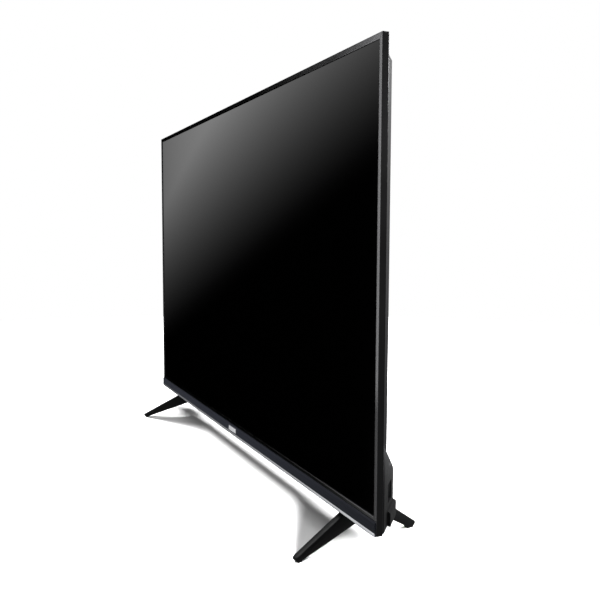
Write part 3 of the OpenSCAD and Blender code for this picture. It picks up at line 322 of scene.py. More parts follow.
end_lamp = lamp("end_lamp", place=(1.0, 0.05, 0.50), aim=(0.565, -0.005, 0.205), size=(0.06, 0.06),
                power=0.20, cone=14.0)
light_only(end_lamp, NODES["lower_cover"])
light_only(cover_lamp, NODES["lower_cover"])
trim_lamp = lamp("trim_lamp", place=(1.3, -1.3, 0.35), aim=(0.5, -0.05, 0.07), size=(1.2, 0.5), power=78.0)
trim_group = light_only(trim_lamp, NODES["chin_trim"])

# %% [markdown]
# ### A dark card
# The outer wall of the right rail looks nearly black, though bare metal would mirror the room there. A
# wide dark card at the set's right is what it mirrors instead.

# %% Dark card
DARK_CARD_X = 3.6
DARK_LIGHT = 0.055

dark = card("dark_card", y0=-1.5, y1=8.0, z0=-3.0, z1=3.0, x=DARK_CARD_X)
shade, shade_light = glow("shade_light")
shade_light.inputs["Strength"].default_value = DARK_LIGHT
dark.data.materials.append(shade)
print("dark card at x =", DARK_CARD_X)

# %% [markdown]
# ## Finishes
# Every finish starts from one Principled shader. Noise on Object coordinates shifts its colour and
# roughness a little, and a finer noise gives a bump, so no surface is one flat colour. Noise has no seams
# and stays sharp from near by.

# %% Helpers for finishes


def start_finish(name):
    """A new material; returns it with its node tree and its Principled shader."""
    finish = bpy.data.materials.new(name)
    finish.use_nodes = True
    return finish, finish.node_tree, finish.node_tree.nodes["Principled BSDF"]


def place(tree, scale=(1, 1, 1)):
    """Object coordinates, stretched."""
    coords = put(tree, "TexCoord")
    mapping = put(tree, "Mapping", {"Scale": scale})
    tree.links.new(coords.outputs["Object"], mapping.inputs["Vector"])
    return mapping.outputs["Vector"]


def noise(tree, vector, scale, detail=3.0):
    """Noise from 0 to 1 over a vector."""
    node = put(tree, "TexNoise", {"Scale": scale, "Detail": detail})
    tree.links.new(vector, node.inputs["Vector"])
    return node.outputs["Fac"]


def spread(tree, value, low, high, to_low, to_high):
    """A value from one range to another."""
    ends = {"From Min": low, "From Max": high, "To Min": to_low, "To Max": to_high}
    node = put(tree, "MapRange", ends)
    tree.links.new(value, node.inputs["Value"])
    return node.outputs["Result"]


def tint(tree, value, dark, light):
    """A colour between two, by a value from 0 to 1."""
    node = put(tree, "Mix", data_type="RGBA")
    node.inputs["A"].default_value = (*dark, 1.0)
    node.inputs["B"].default_value = (*light, 1.0)
    tree.links.new(value, node.inputs["Factor"])
    return node.outputs["Result"]


def bump(tree, shader, height, depth):
    """Tilt the shader's normal by a height in metres; returns the bump."""
    node = put(tree, "Bump", {"Distance": depth})
    tree.links.new(height, node.inputs["Height"])
    tree.links.new(node.outputs["Normal"], shader.inputs["Normal"])
    return node


print("six helpers, and", len(set(SLOT_OF.values())), "material slots to find finishes for")

# %% [markdown]
# Edges of a coated or anodised piece are never quite sharp, and they rub bright first. A bevel node bends the
# normal round an edge without more faces, and where it disagrees with the face, the colour is lighter. That
# lighter colour is partly rubbing and partly a painted highlight along the edge.

# %% Grained finish with worn edges and painted edge highlights
EDGE_SAMPLES = 4
EDGE_FROM, EDGE_FULL = 0.995, 0.85
NOISE_LOW, NOISE_HIGH = 0.3, 0.7
NOISE_SHARE = 0.5
SPECKLE_DETAIL = 2.0
FINISHES = {}


def soft_edges(tree, radius):
    """A normal that runs round sharp edges, and a mask that rises to one on them."""
    rounded = put(tree, "Bevel", {"Radius": radius}, samples=EDGE_SAMPLES)
    surface = put(tree, "NewGeometry")
    agree = put(tree, "VectorMath", operation="DOT_PRODUCT")
    tree.links.new(rounded.outputs["Normal"], agree.inputs[0])
    tree.links.new(surface.outputs["Normal"], agree.inputs[1])
    return rounded.outputs["Normal"], spread(tree, agree.outputs["Value"], EDGE_FROM, EDGE_FULL, 0.0, 1.0)


def grained(slot, dark, light, rough, metal=0.0, patch=9.0, grain=900.0, depth=0.00004, stretch=(1, 1, 1),
            edge=0.0, wear_and_highlight=1.6):
    """A finish with patches and a grain between two colours; an edge radius adds soft edges, lightened partly
    as wear and partly as a painted highlight.
    """
    finish, tree, shader = start_finish(slot)
    vector = place(tree, stretch)
    patches = noise(tree, vector, patch)
    speckle = noise(tree, vector, grain, SPECKLE_DETAIL)
    both = put(tree, "Math", {1: NOISE_SHARE}, operation="MULTIPLY_ADD")
    tree.links.new(speckle, both.inputs[0])
    half = put(tree, "Math", {1: NOISE_SHARE}, operation="MULTIPLY")
    tree.links.new(patches, half.inputs[0])
    tree.links.new(half.outputs["Value"], both.inputs[2])
    shift = spread(tree, both.outputs["Value"], NOISE_LOW, NOISE_HIGH, 0.0, 1.0)
    colour = tint(tree, shift, dark, light)
    relief = bump(tree, shader, speckle, depth)
    if edge:
        normal, mask = soft_edges(tree, edge)
        tree.links.new(normal, relief.inputs["Normal"])
        # Edges get a lighter colour: partly wear, partly a painted highlight.
        worn_and_highlit = tuple(min(wear_and_highlight * part, 1.0) for part in light)
        rubbed_and_highlit = put(tree, "Mix", {"B": (*worn_and_highlit, 1.0)}, data_type="RGBA")
        tree.links.new(mask, rubbed_and_highlit.inputs["Factor"])
        tree.links.new(colour, rubbed_and_highlit.inputs["A"])
        colour = rubbed_and_highlit.outputs["Result"]
    tree.links.new(colour, shader.inputs["Base Color"])
    roughness = spread(tree, patches, NOISE_LOW, NOISE_HIGH, rough[0], rough[1])
    tree.links.new(roughness, shader.inputs["Roughness"])
    shader.inputs["Metallic"].default_value = metal
    FINISHES[slot] = finish
    return shader


print("edges start to show where the normals agree less than", EDGE_FROM)

# %% [markdown]
# ### What shows from the front
# The bezel is anodised alloy, dark yet metallic, so it takes the glint of the rail lamps on its lip. The
# chin is brushed: the noise is squeezed along the set's width into long hairlines. The trim is bright
# metal, the plate a duller alloy. The glass is nearly black, and almost all it shows is what it mirrors.

# %% Bezel, chin, trim and glass
GLASS_IOR = 1.5

# The bezel's edges are lightened: partly wear, partly a painted highlight.
grained("bezel_alloy", (0.15, 0.15, 0.154), (0.20, 0.20, 0.205), (0.14, 0.18), metal=1.0, grain=2600.0,
        depth=0.00001, edge=0.8 * MM, wear_and_highlight=1.3)
grained("chin_brushed", (0.013, 0.0145, 0.020), (0.028, 0.031, 0.042), (0.34, 0.42), metal=0.5, patch=4.0,
        grain=700.0, depth=0.00002, stretch=(0.02, 1, 1))
grained("bright_trim", (0.56, 0.57, 0.59), (0.66, 0.67, 0.69), (0.25, 0.34), metal=0.8, patch=6.0,
        grain=900.0, depth=0.00001, stretch=(0.03, 1, 1))
grained("plate_alloy", (0.40, 0.405, 0.415), (0.46, 0.465, 0.48), (0.30, 0.40), metal=0.3, patch=60.0,
        grain=1400.0, depth=0.00001, stretch=(0.05, 1, 1))
glass_shader = grained("screen_glass", (0.0003, 0.0003, 0.0004), (0.0005, 0.0005, 0.0006), (0.04, 0.06),
                       patch=3.0, grain=1800.0, depth=0.000001)
glass_shader.inputs["IOR"].default_value = GLASS_IOR
print(len(FINISHES), "finishes for the front")

# %% [markdown]
# ### What shows from the sides and the back
# The pan is powder coated steel, so it has a fine orange peel. The housing and the feet are moulded with a
# spark-eroded grain, which takes the gloss off: the feet reflect least. The pads are rubber, the screws
# blackened steel.

# %% Pan, housing, feet and rubber
FOOT_SPECULAR = 0.32

# The pan's and the housing's edges are lightened: partly wear, partly a painted highlight.
grained("pan_steel", (0.012, 0.012, 0.013), (0.016, 0.016, 0.018), (0.44, 0.52), patch=140.0,
        grain=1500.0, depth=0.00008, edge=1.5 * MM)
grained("housing_plastic", (0.011, 0.011, 0.012), (0.017, 0.017, 0.018), (0.46, 0.56), patch=160.0,
        grain=1900.0, depth=0.00008, edge=1.2 * MM)
foot_shader = grained("foot_plastic", (0.005, 0.005, 0.0055), (0.008, 0.008, 0.009), (0.42, 0.56),
                      patch=140.0, grain=2200.0, depth=0.00006)
foot_shader.inputs["Specular IOR Level"].default_value = FOOT_SPECULAR
grained("rubber", (0.012, 0.012, 0.012), (0.022, 0.022, 0.021), (0.75, 0.9), grain=1200.0, depth=0.00008)
grained("dark_screw", (0.05, 0.05, 0.055), (0.09, 0.09, 0.095), (0.30, 0.42), metal=0.9, grain=1800.0,
        depth=0.00001)
print(len(FINISHES), "finishes with the sides and the back")

# %% [markdown]
# ### What lies inside
# The inner pieces show through the vents and the bays, and whenever the set is taken apart. They are board,
# film, sheet, chip and cable, each with the same grain at another size and in another colour.

# %% Finishes of the inner pieces
grained("foam", (0.012, 0.012, 0.012), (0.03, 0.03, 0.03), (0.85, 0.95), grain=1400.0, depth=0.00015)
grained("moulded_black", (0.010, 0.010, 0.010), (0.018, 0.018, 0.018), (0.5, 0.65), grain=1600.0)
grained("clear_film", (0.78, 0.80, 0.82), (0.86, 0.88, 0.90), (0.25, 0.4), grain=400.0)
grained("white_sheet", (0.82, 0.82, 0.80), (0.90, 0.90, 0.88), (0.5, 0.65), grain=700.0)
grained("plain_steel", (0.42, 0.43, 0.44), (0.55, 0.56, 0.57), (0.30, 0.45), metal=1.0, grain=900.0)
grained("green_board", (0.010, 0.085, 0.040), (0.018, 0.13, 0.060), (0.30, 0.45), patch=120.0, grain=700.0)
grained("tan_board", (0.38, 0.22, 0.08), (0.48, 0.30, 0.12), (0.40, 0.55), patch=90.0, grain=600.0)
grained("chip_black", (0.010, 0.010, 0.011), (0.022, 0.022, 0.023), (0.45, 0.6), grain=2500.0)
grained("sink_aluminium", (0.45, 0.46, 0.47), (0.60, 0.61, 0.62), (0.35, 0.5), metal=1.0, grain=500.0)
grained("socket_shell", (0.50, 0.50, 0.50), (0.66, 0.66, 0.65), (0.22, 0.35), metal=1.0, grain=1200.0)
grained("yellow_tape", (0.62, 0.42, 0.03), (0.75, 0.53, 0.06), (0.35, 0.5), grain=500.0)
grained("capacitor_sleeve", (0.014, 0.030, 0.055), (0.024, 0.045, 0.080), (0.25, 0.4), grain=800.0)
grained("ribbon", (0.60, 0.61, 0.64), (0.74, 0.75, 0.78), (0.3, 0.45), patch=300.0, grain=900.0,
        stretch=(1, 0.02, 0.02))
grained("harness_red", (0.32, 0.025, 0.018), (0.45, 0.045, 0.03), (0.4, 0.55), grain=900.0)
grained("film_amber", (0.28, 0.11, 0.012), (0.40, 0.17, 0.025), (0.25, 0.4), patch=400.0, grain=900.0,
        stretch=(1, 1, 0.05))
grained("brass", (0.52, 0.36, 0.12), (0.65, 0.47, 0.18), (0.25, 0.4), metal=1.0, grain=900.0)
grained("ir_window", (0.020, 0.002, 0.004), (0.035, 0.004, 0.007), (0.08, 0.15), grain=1500.0, depth=0.000005)
grained("led_board", (0.80, 0.80, 0.76), (0.88, 0.88, 0.85), (0.4, 0.55), grain=700.0)
print(len(FINISHES), "finishes")

# %% [markdown]
# ### Lines in the finishes
# Some surfaces are ruled: conductors in a flat cable, ribs under a rubber pad, the thread of a brass post,
# die lines on a drawn heat sink. They are too fine to model, so a wave on Object coordinates sinks the
# surface at the real pitch with a second bump, and darkens the colour in the sunk lines: partly the lines'
# own colour, partly painted shade in the grooves.

# %% Ruled finishes
# The wave texture's own pitch, at a scale of one
WAVE_PITCH = 2 * math.pi / 20.0
LINE_FROM, LINE_FULL = 0.45, 0.15


def ruled(tree, axis, pitch):
    """A wave from 0 to 1 along an axis, with a pitch in metres."""
    wave = put(tree, "TexWave", {"Scale": WAVE_PITCH / pitch}, wave_type="BANDS", bands_direction=axis)
    coords = put(tree, "TexCoord")
    tree.links.new(coords.outputs["Object"], wave.inputs["Vector"])
    return wave.outputs["Fac"]


def overlay(tree, shader, mask, colour):
    """Lay a colour over a finish where a mask is one."""
    under = shader.inputs["Base Color"].links[0].from_socket
    laid = put(tree, "Mix", {"B": (*colour, 1.0)}, data_type="RGBA")
    tree.links.new(mask, laid.inputs["Factor"])
    tree.links.new(under, laid.inputs["A"])
    tree.links.new(laid.outputs["Result"], shader.inputs["Base Color"])


def lined_with_groove_shade(slot, axis, pitch, depth, colour):
    """Rule a finish across an axis: lines sunk by a depth and darkened to a colour, partly their own colour
    and partly painted shade in the grooves.
    """
    tree = FINISHES[slot].node_tree
    shader = tree.nodes["Principled BSDF"]
    wave = ruled(tree, axis, pitch)
    overlay(tree, shader, spread(tree, wave, LINE_FROM, LINE_FULL, 0.0, 1.0), colour)
    under = shader.inputs["Normal"].links[0].from_socket
    relief = bump(tree, shader, wave, depth)
    tree.links.new(under, relief.inputs["Normal"])
    print(slot, "has lines", round(pitch / MM, 1), "mm apart")


# The dark colours below are painted shade in the grooves, in part the lines' own colour.
lined_with_groove_shade("rubber", "Y", 2.0 * MM, 0.3 * MM, (0.008, 0.008, 0.008))
lined_with_groove_shade("brass", "Y", 0.7 * MM, 0.15 * MM, (0.30, 0.19, 0.05))
lined_with_groove_shade("ribbon", "X", 1.0 * MM, 0.05 * MM, (0.42, 0.43, 0.46))
lined_with_groove_shade("film_amber", "X", 0.6 * MM, 0.01 * MM, (0.16, 0.06, 0.008))
lined_with_groove_shade("sink_aluminium", "X", 1.2 * MM, 0.04 * MM, (0.36, 0.37, 0.38))

# %% [markdown]
# Copper traces lie under the green lacquer of a board, in bundles that run along it or across it. Two
# waves give the two directions, and a coarse noise with a steep edge chooses between them place by place.

# %% Copper traces on the green boards
TRACE_PITCH = 1.6 * MM
TRACE_GREEN = (0.035, 0.21, 0.10)
TRACE_FROM, TRACE_FULL = 0.70, 0.80
BUNDLE_SCALE = 55.0
BUNDLE_LOW, BUNDLE_HIGH = 0.49, 0.51

board_tree = FINISHES["green_board"].node_tree
chosen = put(board_tree, "Mix", data_type="FLOAT")
bundles = noise(board_tree, place(board_tree), BUNDLE_SCALE, 0.0)
board_tree.links.new(spread(board_tree, bundles, BUNDLE_LOW, BUNDLE_HIGH, 0.0, 1.0), chosen.inputs["Factor"])
board_tree.links.new(ruled(board_tree, "X", TRACE_PITCH), chosen.inputs["A"])
board_tree.links.new(ruled(board_tree, "Z", TRACE_PITCH), chosen.inputs["B"])
traces = spread(board_tree, chosen.outputs["Result"], TRACE_FROM, TRACE_FULL, 0.0, 1.0)
overlay(board_tree, board_tree.nodes["Principled BSDF"], traces, TRACE_GREEN)
print("traces", round(TRACE_PITCH / MM, 1), "mm apart")

# %% [markdown]
# ## Modelling by hand
# The solids have sharp edges wherever a moulding is soft. Pieces that a hand would touch, or that catch
# the light, are modelled again here: a primitive, a few edit-mode steps, then modifiers. These helpers
# keep the steps short: one selects an object alone, one picks faces or edges by a test, one rounds edges.

# %% Helpers for modelling
SMOOTH_ANGLE = math.radians(40.0)


def alone(piece):
    """Select one object and nothing else."""
    bpy.ops.object.select_all(action="DESELECT")
    piece.select_set(True)
    bpy.context.view_layer.objects.active = piece


def pick(piece, kind, test):
    """In edit mode, select the faces or edges that pass a test."""
    bpy.ops.mesh.select_mode(type=kind)
    bpy.ops.mesh.select_all(action="DESELECT")
    mesh = bmesh.from_edit_mesh(piece.data)
    for item in mesh.faces if kind == "FACE" else mesh.edges:
        if test(item):
            item.select_set(True)
    bmesh.update_edit_mesh(piece.data)


def middle(edge):
    """The middle of an edge."""
    return (edge.verts[0].co + edge.verts[1].co) / 2


def soften(piece, width, segments=3, angle=30.0):
    """Round the edges sharper than an angle with a bevel, then shade the faces smooth."""
    alone(piece)
    rounding = piece.modifiers.new("soft_edges", "BEVEL")
    rounding.width = width
    rounding.segments = segments
    rounding.limit_method = "ANGLE"
    rounding.angle_limit = math.radians(angle)
    rounding.harden_normals = False
    bpy.ops.object.modifier_apply(modifier=rounding.name)
    bpy.ops.object.shade_smooth_by_angle(angle=SMOOTH_ANGLE)


print("faces are shaded smooth up to", round(math.degrees(SMOOTH_ANGLE)), "degrees")

# %% [markdown]
# ### Feet
# Each foot is a moulded V: a long front leg, a shorter and steeper rear leg, and a root that goes up
# into the housing. It could be cut from a block, but drawing one face out along the foot, section after
# section, gives clean strips for the bevel to follow. Here s runs along the foot from front to rear.

# %% Length of a foot
FOOT_Y = 1 * MM
FOOT_TOE = math.radians(12)
TIP_R = 6 * MM
TIP_SLACK = 0.2 * MM
FRONT_HEEL, REAR_HEEL = 1.2 * TIP_R, 2.2 * TIP_R

foot_low, foot_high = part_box("foot_right")
front_s = (foot_low.y + TIP_R + TIP_SLACK - FOOT_Y) / math.cos(FOOT_TOE)
rear_s = (foot_high.y - TIP_R - TIP_SLACK - FOOT_Y) / math.cos(FOOT_TOE)
front_end, rear_end = front_s - TIP_R, rear_s + TIP_R
front_heel, rear_heel = front_s + FRONT_HEEL, rear_s - REAR_HEEL
print("a foot", round((rear_end - front_end) / MM, 1), "mm long")

# %% [markdown]
# Two straight lines bound each leg, above and below. The upper ones would meet inside the housing, so they
# end under it, and the lower ones meet in a crotch with a short flat roof. Each section is a place along
# the foot with a lowest and a highest point.

# %% Sections of a foot
FOOT_HALF = 7 * MM
TIP_CUT = 2 * MM
TIP_TOP = 8.5 * MM
PAD_T = 2.5 * MM
ROOT_HALF = 25 * MM
UNDERSIDE = 66 * MM
PEAK_S, PEAK_Z = 17 * MM, 85 * MM
CROTCH_S, CROTCH_Z = 28 * MM, 49 * MM
CROTCH_HALF = 12 * MM
CROTCH_ROOF = CROTCH_Z - 3 * MM


def on_line(s, start, end):
    """Height at s on a line through two points (s, z)."""
    return start[1] + (s - start[0]) * (end[1] - start[1]) / (end[0] - start[0])


def leg_top(s):
    """Height of the legs' upper edges, held under the housing."""
    end = front_end if s < PEAK_S else rear_end
    return min(on_line(s, (end, TIP_TOP), (PEAK_S, PEAK_Z)), UNDERSIDE)


def leg_bottom(s):
    """Height of the legs' lower edges."""
    heel = front_heel if s < CROTCH_S else rear_heel
    return on_line(s, (heel, PAD_T), (CROTCH_S, CROTCH_Z))


def leg_half(s):
    """Half the foot's width, narrower towards the tips."""
    if abs(s) <= ROOT_HALF:
        return FOOT_HALF
    end, root = (front_s, -ROOT_HALF) if s < 0 else (rear_s, ROOT_HALF)
    share = min((s - root) / (end - root), 1.0)
    return FOOT_HALF + share * (TIP_R - FOOT_HALF)


crotch_front, crotch_rear = CROTCH_S - CROTCH_HALF, CROTCH_S + CROTCH_HALF
rear_flat = rear_end - (UNDERSIDE - TIP_TOP) * (rear_end - PEAK_S) / (PEAK_Z - TIP_TOP)
sections = [(front_end, PAD_T + TIP_CUT, TIP_TOP),
            (front_s, PAD_T, leg_top(front_s)),
            (front_heel, PAD_T, leg_top(front_heel)),
            (-ROOT_HALF, leg_bottom(-ROOT_HALF), leg_top(-ROOT_HALF)),
            (crotch_front, leg_bottom(crotch_front), UNDERSIDE),
            (ROOT_HALF, CROTCH_ROOF, UNDERSIDE),
            (CROTCH_S + CROTCH_HALF / 3, CROTCH_ROOF, UNDERSIDE),
            (crotch_rear, leg_bottom(crotch_rear), UNDERSIDE),
            (rear_flat, leg_bottom(rear_flat), UNDERSIDE),
            (rear_heel, PAD_T, leg_top(rear_heel)),
            (rear_s, PAD_T, leg_top(rear_s)),
            (rear_end, PAD_T + TIP_CUT, TIP_TOP)]
print(len(sections), "sections from tip to tip")

# %% [markdown]
# A plane is put at the front tip and drawn out through the sections, resized at each. The root is then
# pulled up from the strips on top, and the upright edges at the tips are rounded in plan before the bevel
# softens the whole foot.

# %% Draw a foot out
ROOT_TOP = 70.8 * MM
UPWARD = 0.7
TINY = 1e-6
TIP_ROUND = 0.8 * TIP_R
TIP_STEPS = 4
FOOT_EDGE = 2.0 * MM

bpy.ops.object.select_all(action="DESELECT")
bpy.ops.mesh.primitive_plane_add(size=2.0, rotation=(math.pi / 2, 0, 0))
foot = bpy.context.object
bpy.ops.object.transform_apply(rotation=True)
bpy.ops.object.mode_set(mode="EDIT")
bpy.ops.mesh.select_all(action="SELECT")
# The plane starts at zero and reaches one metre to each side
was_s, was_middle, was_half, was_height = 0.0, 0.0, 1.0, 1.0
for index, (s, low, high) in enumerate(sections):
    step = (0, s - was_s, (low + high) / 2 - was_middle)
    if index:
        bpy.ops.mesh.extrude_region_move(TRANSFORM_OT_translate={"value": step})
    else:
        bpy.ops.transform.translate(value=step)
    was_s, was_middle = s, (low + high) / 2
    grow = (leg_half(s) / was_half, 1, (high - low) / 2 / was_height)
    bpy.ops.transform.resize(value=grow, center_override=(0, was_s, was_middle))
    was_half, was_height = leg_half(s), (high - low) / 2
bpy.ops.mesh.select_all(action="SELECT")
bpy.ops.mesh.normals_make_consistent(inside=False)
pick(foot, "FACE", lambda f: f.normal.z > UPWARD and abs(f.calc_center_median().y) < ROOT_HALF)
bpy.ops.mesh.extrude_region_move(TRANSFORM_OT_translate={"value": (0, 0, MM)})
bpy.ops.transform.resize(value=(1, 1, 0), center_override=(0, 0, ROOT_TOP))


def upright_at_tip(edge):
    """Whether an edge stands upright at the front tip or at the rear tip."""
    along = edge.verts[1].co - edge.verts[0].co
    upright = abs(along.x) < TINY and abs(along.y) < TINY
    return upright and not front_end + MM < middle(edge).y < rear_end - MM


pick(foot, "EDGE", upright_at_tip)
bpy.ops.mesh.bevel(offset=TIP_ROUND, segments=TIP_STEPS, affect="EDGES")
bpy.ops.object.mode_set(mode="OBJECT")
soften(foot, FOOT_EDGE)
print("a foot of", len(foot.data.polygons), "faces")

# %% [markdown]
# The screws come up from below, so two counterbores are carved out of the underside. A foot is the same on
# both flanks, so the left one is a copy with a mesh of its own, toed out to the other side. A finished
# piece is settled in its place, dressed, and rides on its body instead of the solid.

# %% Helpers for finished pieces
MERGE = 0.000005


def carve(piece, cutter):
    """Cut one object out of another, and remove the cutter."""
    alone(piece)
    cutting = piece.modifiers.new("carve", "BOOLEAN")
    cutting.operation = "DIFFERENCE"
    cutting.solver = "EXACT"
    cutting.object = cutter
    bpy.ops.object.modifier_apply(modifier=cutting.name)
    bpy.data.objects.remove(cutter, do_unlink=True)


def settle(piece):
    """Put the object's move, turn and scale into its mesh, with all faces outwards."""
    alone(piece)
    bpy.ops.object.transform_apply(location=True, rotation=True, scale=True)
    bpy.ops.object.mode_set(mode="EDIT")
    bpy.ops.mesh.select_all(action="SELECT")
    bpy.ops.mesh.remove_doubles(threshold=MERGE)
    bpy.ops.mesh.normals_make_consistent(inside=False)
    bpy.ops.object.mode_set(mode="OBJECT")


def mount(piece, name, slot, *nodes, body="set", finish=None):
    """Name a finished piece, dress it, and let it ride on a body in place of CAD nodes."""
    piece.name = name
    piece.data.name = name
    piece.data.materials.clear()
    piece.data.materials.append(FINISHES[finish or slot])
    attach(piece, body)
    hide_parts(*nodes)
    triangles = sum(len(face.vertices) - 2 for face in piece.data.polygons)
    print(name, "has", triangles, "triangles")


print("points closer than", MERGE / MM, "mm are merged")

# %% Foot counterbores and the left foot
FOOT_X = 484 * MM
SCREW_S = (-8 * MM, 18 * MM)
HEAD_ROOM = 4.2 * MM
SHANK_ROOM = 2.2 * MM
SEAT_Z = 58 * MM
THROUGH_Z = ROOT_TOP + 2 * MM
BORE_SIDES = 32

for s in SCREW_S:
    for radius, top in ((HEAD_ROOM, SEAT_Z), (SHANK_ROOM, THROUGH_Z)):
        bpy.ops.object.select_all(action="DESELECT")
        bpy.ops.mesh.primitive_cylinder_add(vertices=BORE_SIDES, radius=radius, depth=top,
                                            location=(0, s, top / 2))
        carve(foot, bpy.context.object)
alone(foot)
bpy.ops.object.duplicate()
left_foot = bpy.context.object
for piece, side in ((foot, 1), (left_foot, -1)):
    piece.rotation_euler = (0, 0, side * FOOT_TOE)
    piece.location = (side * FOOT_X, FOOT_Y, 0)
    settle(piece)
mount(foot, "soft_foot_right", "foot_plastic", "foot_right")
mount(left_foot, "soft_foot_left", "foot_plastic", "foot_left")

# %% [markdown]
# ### Rails, chin and trim
# A drawn or extruded rail never has a knife edge. These solids are right apart from that, so a copy of
# each mesh is merged into whole faces, a narrow bevel rounds its edges, and weighted normals keep the
# faces flat. The lamps that were linked to the solids are linked to the copies too.

# %% Soft rails
RAIL_EDGE = 0.5 * MM
TRIM_EDGE = 0.3 * MM
FLAT_ANGLE = math.radians(0.5)
FLAT_WEIGHT = 100


def soft_copy(node, name, width, *groups):
    """A copy of a CAD node with whole faces and rounded edges, lit by some lamps' groups."""
    piece = bpy.data.objects.new(name, NODES[node].data.copy())
    bpy.context.scene.collection.objects.link(piece)
    alone(piece)
    bpy.ops.object.mode_set(mode="EDIT")
    bpy.ops.mesh.select_all(action="SELECT")
    bpy.ops.mesh.remove_doubles(threshold=MERGE)
    bpy.ops.mesh.dissolve_limited(angle_limit=FLAT_ANGLE)
    bpy.ops.object.mode_set(mode="OBJECT")
    soften(piece, width, segments=3, angle=25.0)
    flat = piece.modifiers.new("flat_faces", "WEIGHTED_NORMAL")
    flat.weight = FLAT_WEIGHT
    flat.keep_sharp = True
    bpy.ops.object.modifier_apply(modifier=flat.name)
    mount(piece, name, SLOT_OF[node], node)
    for group in groups:
        group.objects.link(piece)


for side in SIDES:
    soft_copy("bezel_" + side, "soft_rail_" + side, RAIL_EDGE, rail_group, rail_low_group)
soft_copy("chin_bar", "soft_chin", RAIL_EDGE, chin_group)
soft_copy("chin_trim", "soft_trim", TRIM_EDGE, rail_group, rail_low_group, trim_group)

# %% [markdown]
# ### The plain plate on the chin
# A small bright plate sits at the chin's middle. It would be stamped from sheet: a block with rounded
# corners, a fine sunk line round its plain face, and a bevel that gives it a bright rim. Insets draw the
# line, since they follow the rounded outline by themselves.

# %% Chin plate
PLATE_CORNER = 1.5 * MM
PLATE_RIM = 0.9 * MM
PLATE_LINE = 0.25 * MM
PLATE_EDGE = 0.12 * MM
CORNER_STEPS = 5
THICKNESS_RUN = 0.1 * MM
FACING = 0.9

plate_low, plate_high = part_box("chin_plate")
bpy.ops.object.select_all(action="DESELECT")
bpy.ops.mesh.primitive_cube_add(size=1.0, location=(plate_low + plate_high) / 2)
plate = bpy.context.object
plate.scale = plate_high - plate_low
settle(plate)
bpy.ops.object.mode_set(mode="EDIT")
pick(plate, "EDGE", lambda e: abs(e.verts[0].co.y - e.verts[1].co.y) > THICKNESS_RUN)
bpy.ops.mesh.bevel(offset=PLATE_CORNER, segments=CORNER_STEPS, affect="EDGES")
pick(plate, "FACE", lambda f: f.normal.y < -FACING)
bpy.ops.mesh.inset(thickness=PLATE_RIM, depth=0.0)
bpy.ops.mesh.inset(thickness=PLATE_LINE, depth=-PLATE_LINE / 2)
bpy.ops.mesh.inset(thickness=PLATE_LINE, depth=PLATE_LINE / 2)
bpy.ops.object.mode_set(mode="OBJECT")
soften(plate, PLATE_EDGE, segments=2, angle=50.0)
mount(plate, "bare_plate", "bright_trim", "chin_plate", finish="plate_alloy")
chin_group.objects.link(plate)

# %% [markdown]
# ### Screws in the back
# The housing is held by screws deep in round wells. The CAD node holds all of them, each a rod with a disc
# on it, so their places are read from the node, solid by solid.

# %% Find the screws
ISLAND_MERGE = 0.00001


def solids_of(node):
    """The box of each separate solid in a CAD node, found on a merged copy of its mesh."""
    mesh = bmesh.new()
    mesh.from_mesh(NODES[node].data)
    bmesh.ops.remove_doubles(mesh, verts=mesh.verts[:], dist=ISLAND_MERGE)
    left = set(mesh.verts)
    boxes = []
    while left:
        island, front = [], [left.pop()]
        while front:
            vertex = front.pop()
            island.append(vertex.co.copy())
            for edge in vertex.link_edges:
                other = edge.other_vert(vertex)
                if other in left:
                    left.remove(other)
                    front.append(other)
        low = Vector(min(p[i] for p in island) for i in range(3))
        high = Vector(max(p[i] for p in island) for i in range(3))
        boxes.append((low, high))
    mesh.free()
    return boxes


screw_boxes = sorted(solids_of("cover_screws"), key=lambda box: box[0].x)
print(len(screw_boxes), "screws hold the housing")

# %% [markdown]
# A real screw has a domed head with a cross sunk in it. One is turned from a cylinder: the rim is rounded,
# the lower face is pulled out into the shank and narrowed at its end, and two tapered bars cut the cross.

# %% Model one screw
HEAD_H = 2.5 * MM
HEAD_SIDES = 32
RIM_SHARE = 0.35
RIM_STEPS = 4
SCREW_SHANK_R = 1.5 * MM
SHANK_SHARE, POINT_SHARE = 0.85, 0.15
SCREW_POINT = 0.5
SCREW_SMOOTH = math.radians(35.0)
CROSS_LONG = 4.2 * MM
CROSS_WIDE = 0.95 * MM
CROSS_DEEP = 1.5 * MM
CROSS_TAPER = 0.55


def cross_cutter(turn):
    """A bar for one stroke of the cross, narrower at its lower end."""
    bpy.ops.object.select_all(action="DESELECT")
    bpy.ops.mesh.primitive_cube_add(size=1.0)
    bar = bpy.context.object
    bar.scale = (CROSS_LONG, CROSS_WIDE, 2 * CROSS_DEEP)
    bar.rotation_euler = (0, 0, turn)
    settle(bar)
    bpy.ops.object.mode_set(mode="EDIT")
    pick(bar, "FACE", lambda f: f.normal.z < -FACING)
    bpy.ops.transform.resize(value=(CROSS_TAPER, CROSS_TAPER, 1), center_override=(0, 0, 0))
    bpy.ops.object.mode_set(mode="OBJECT")
    return bar


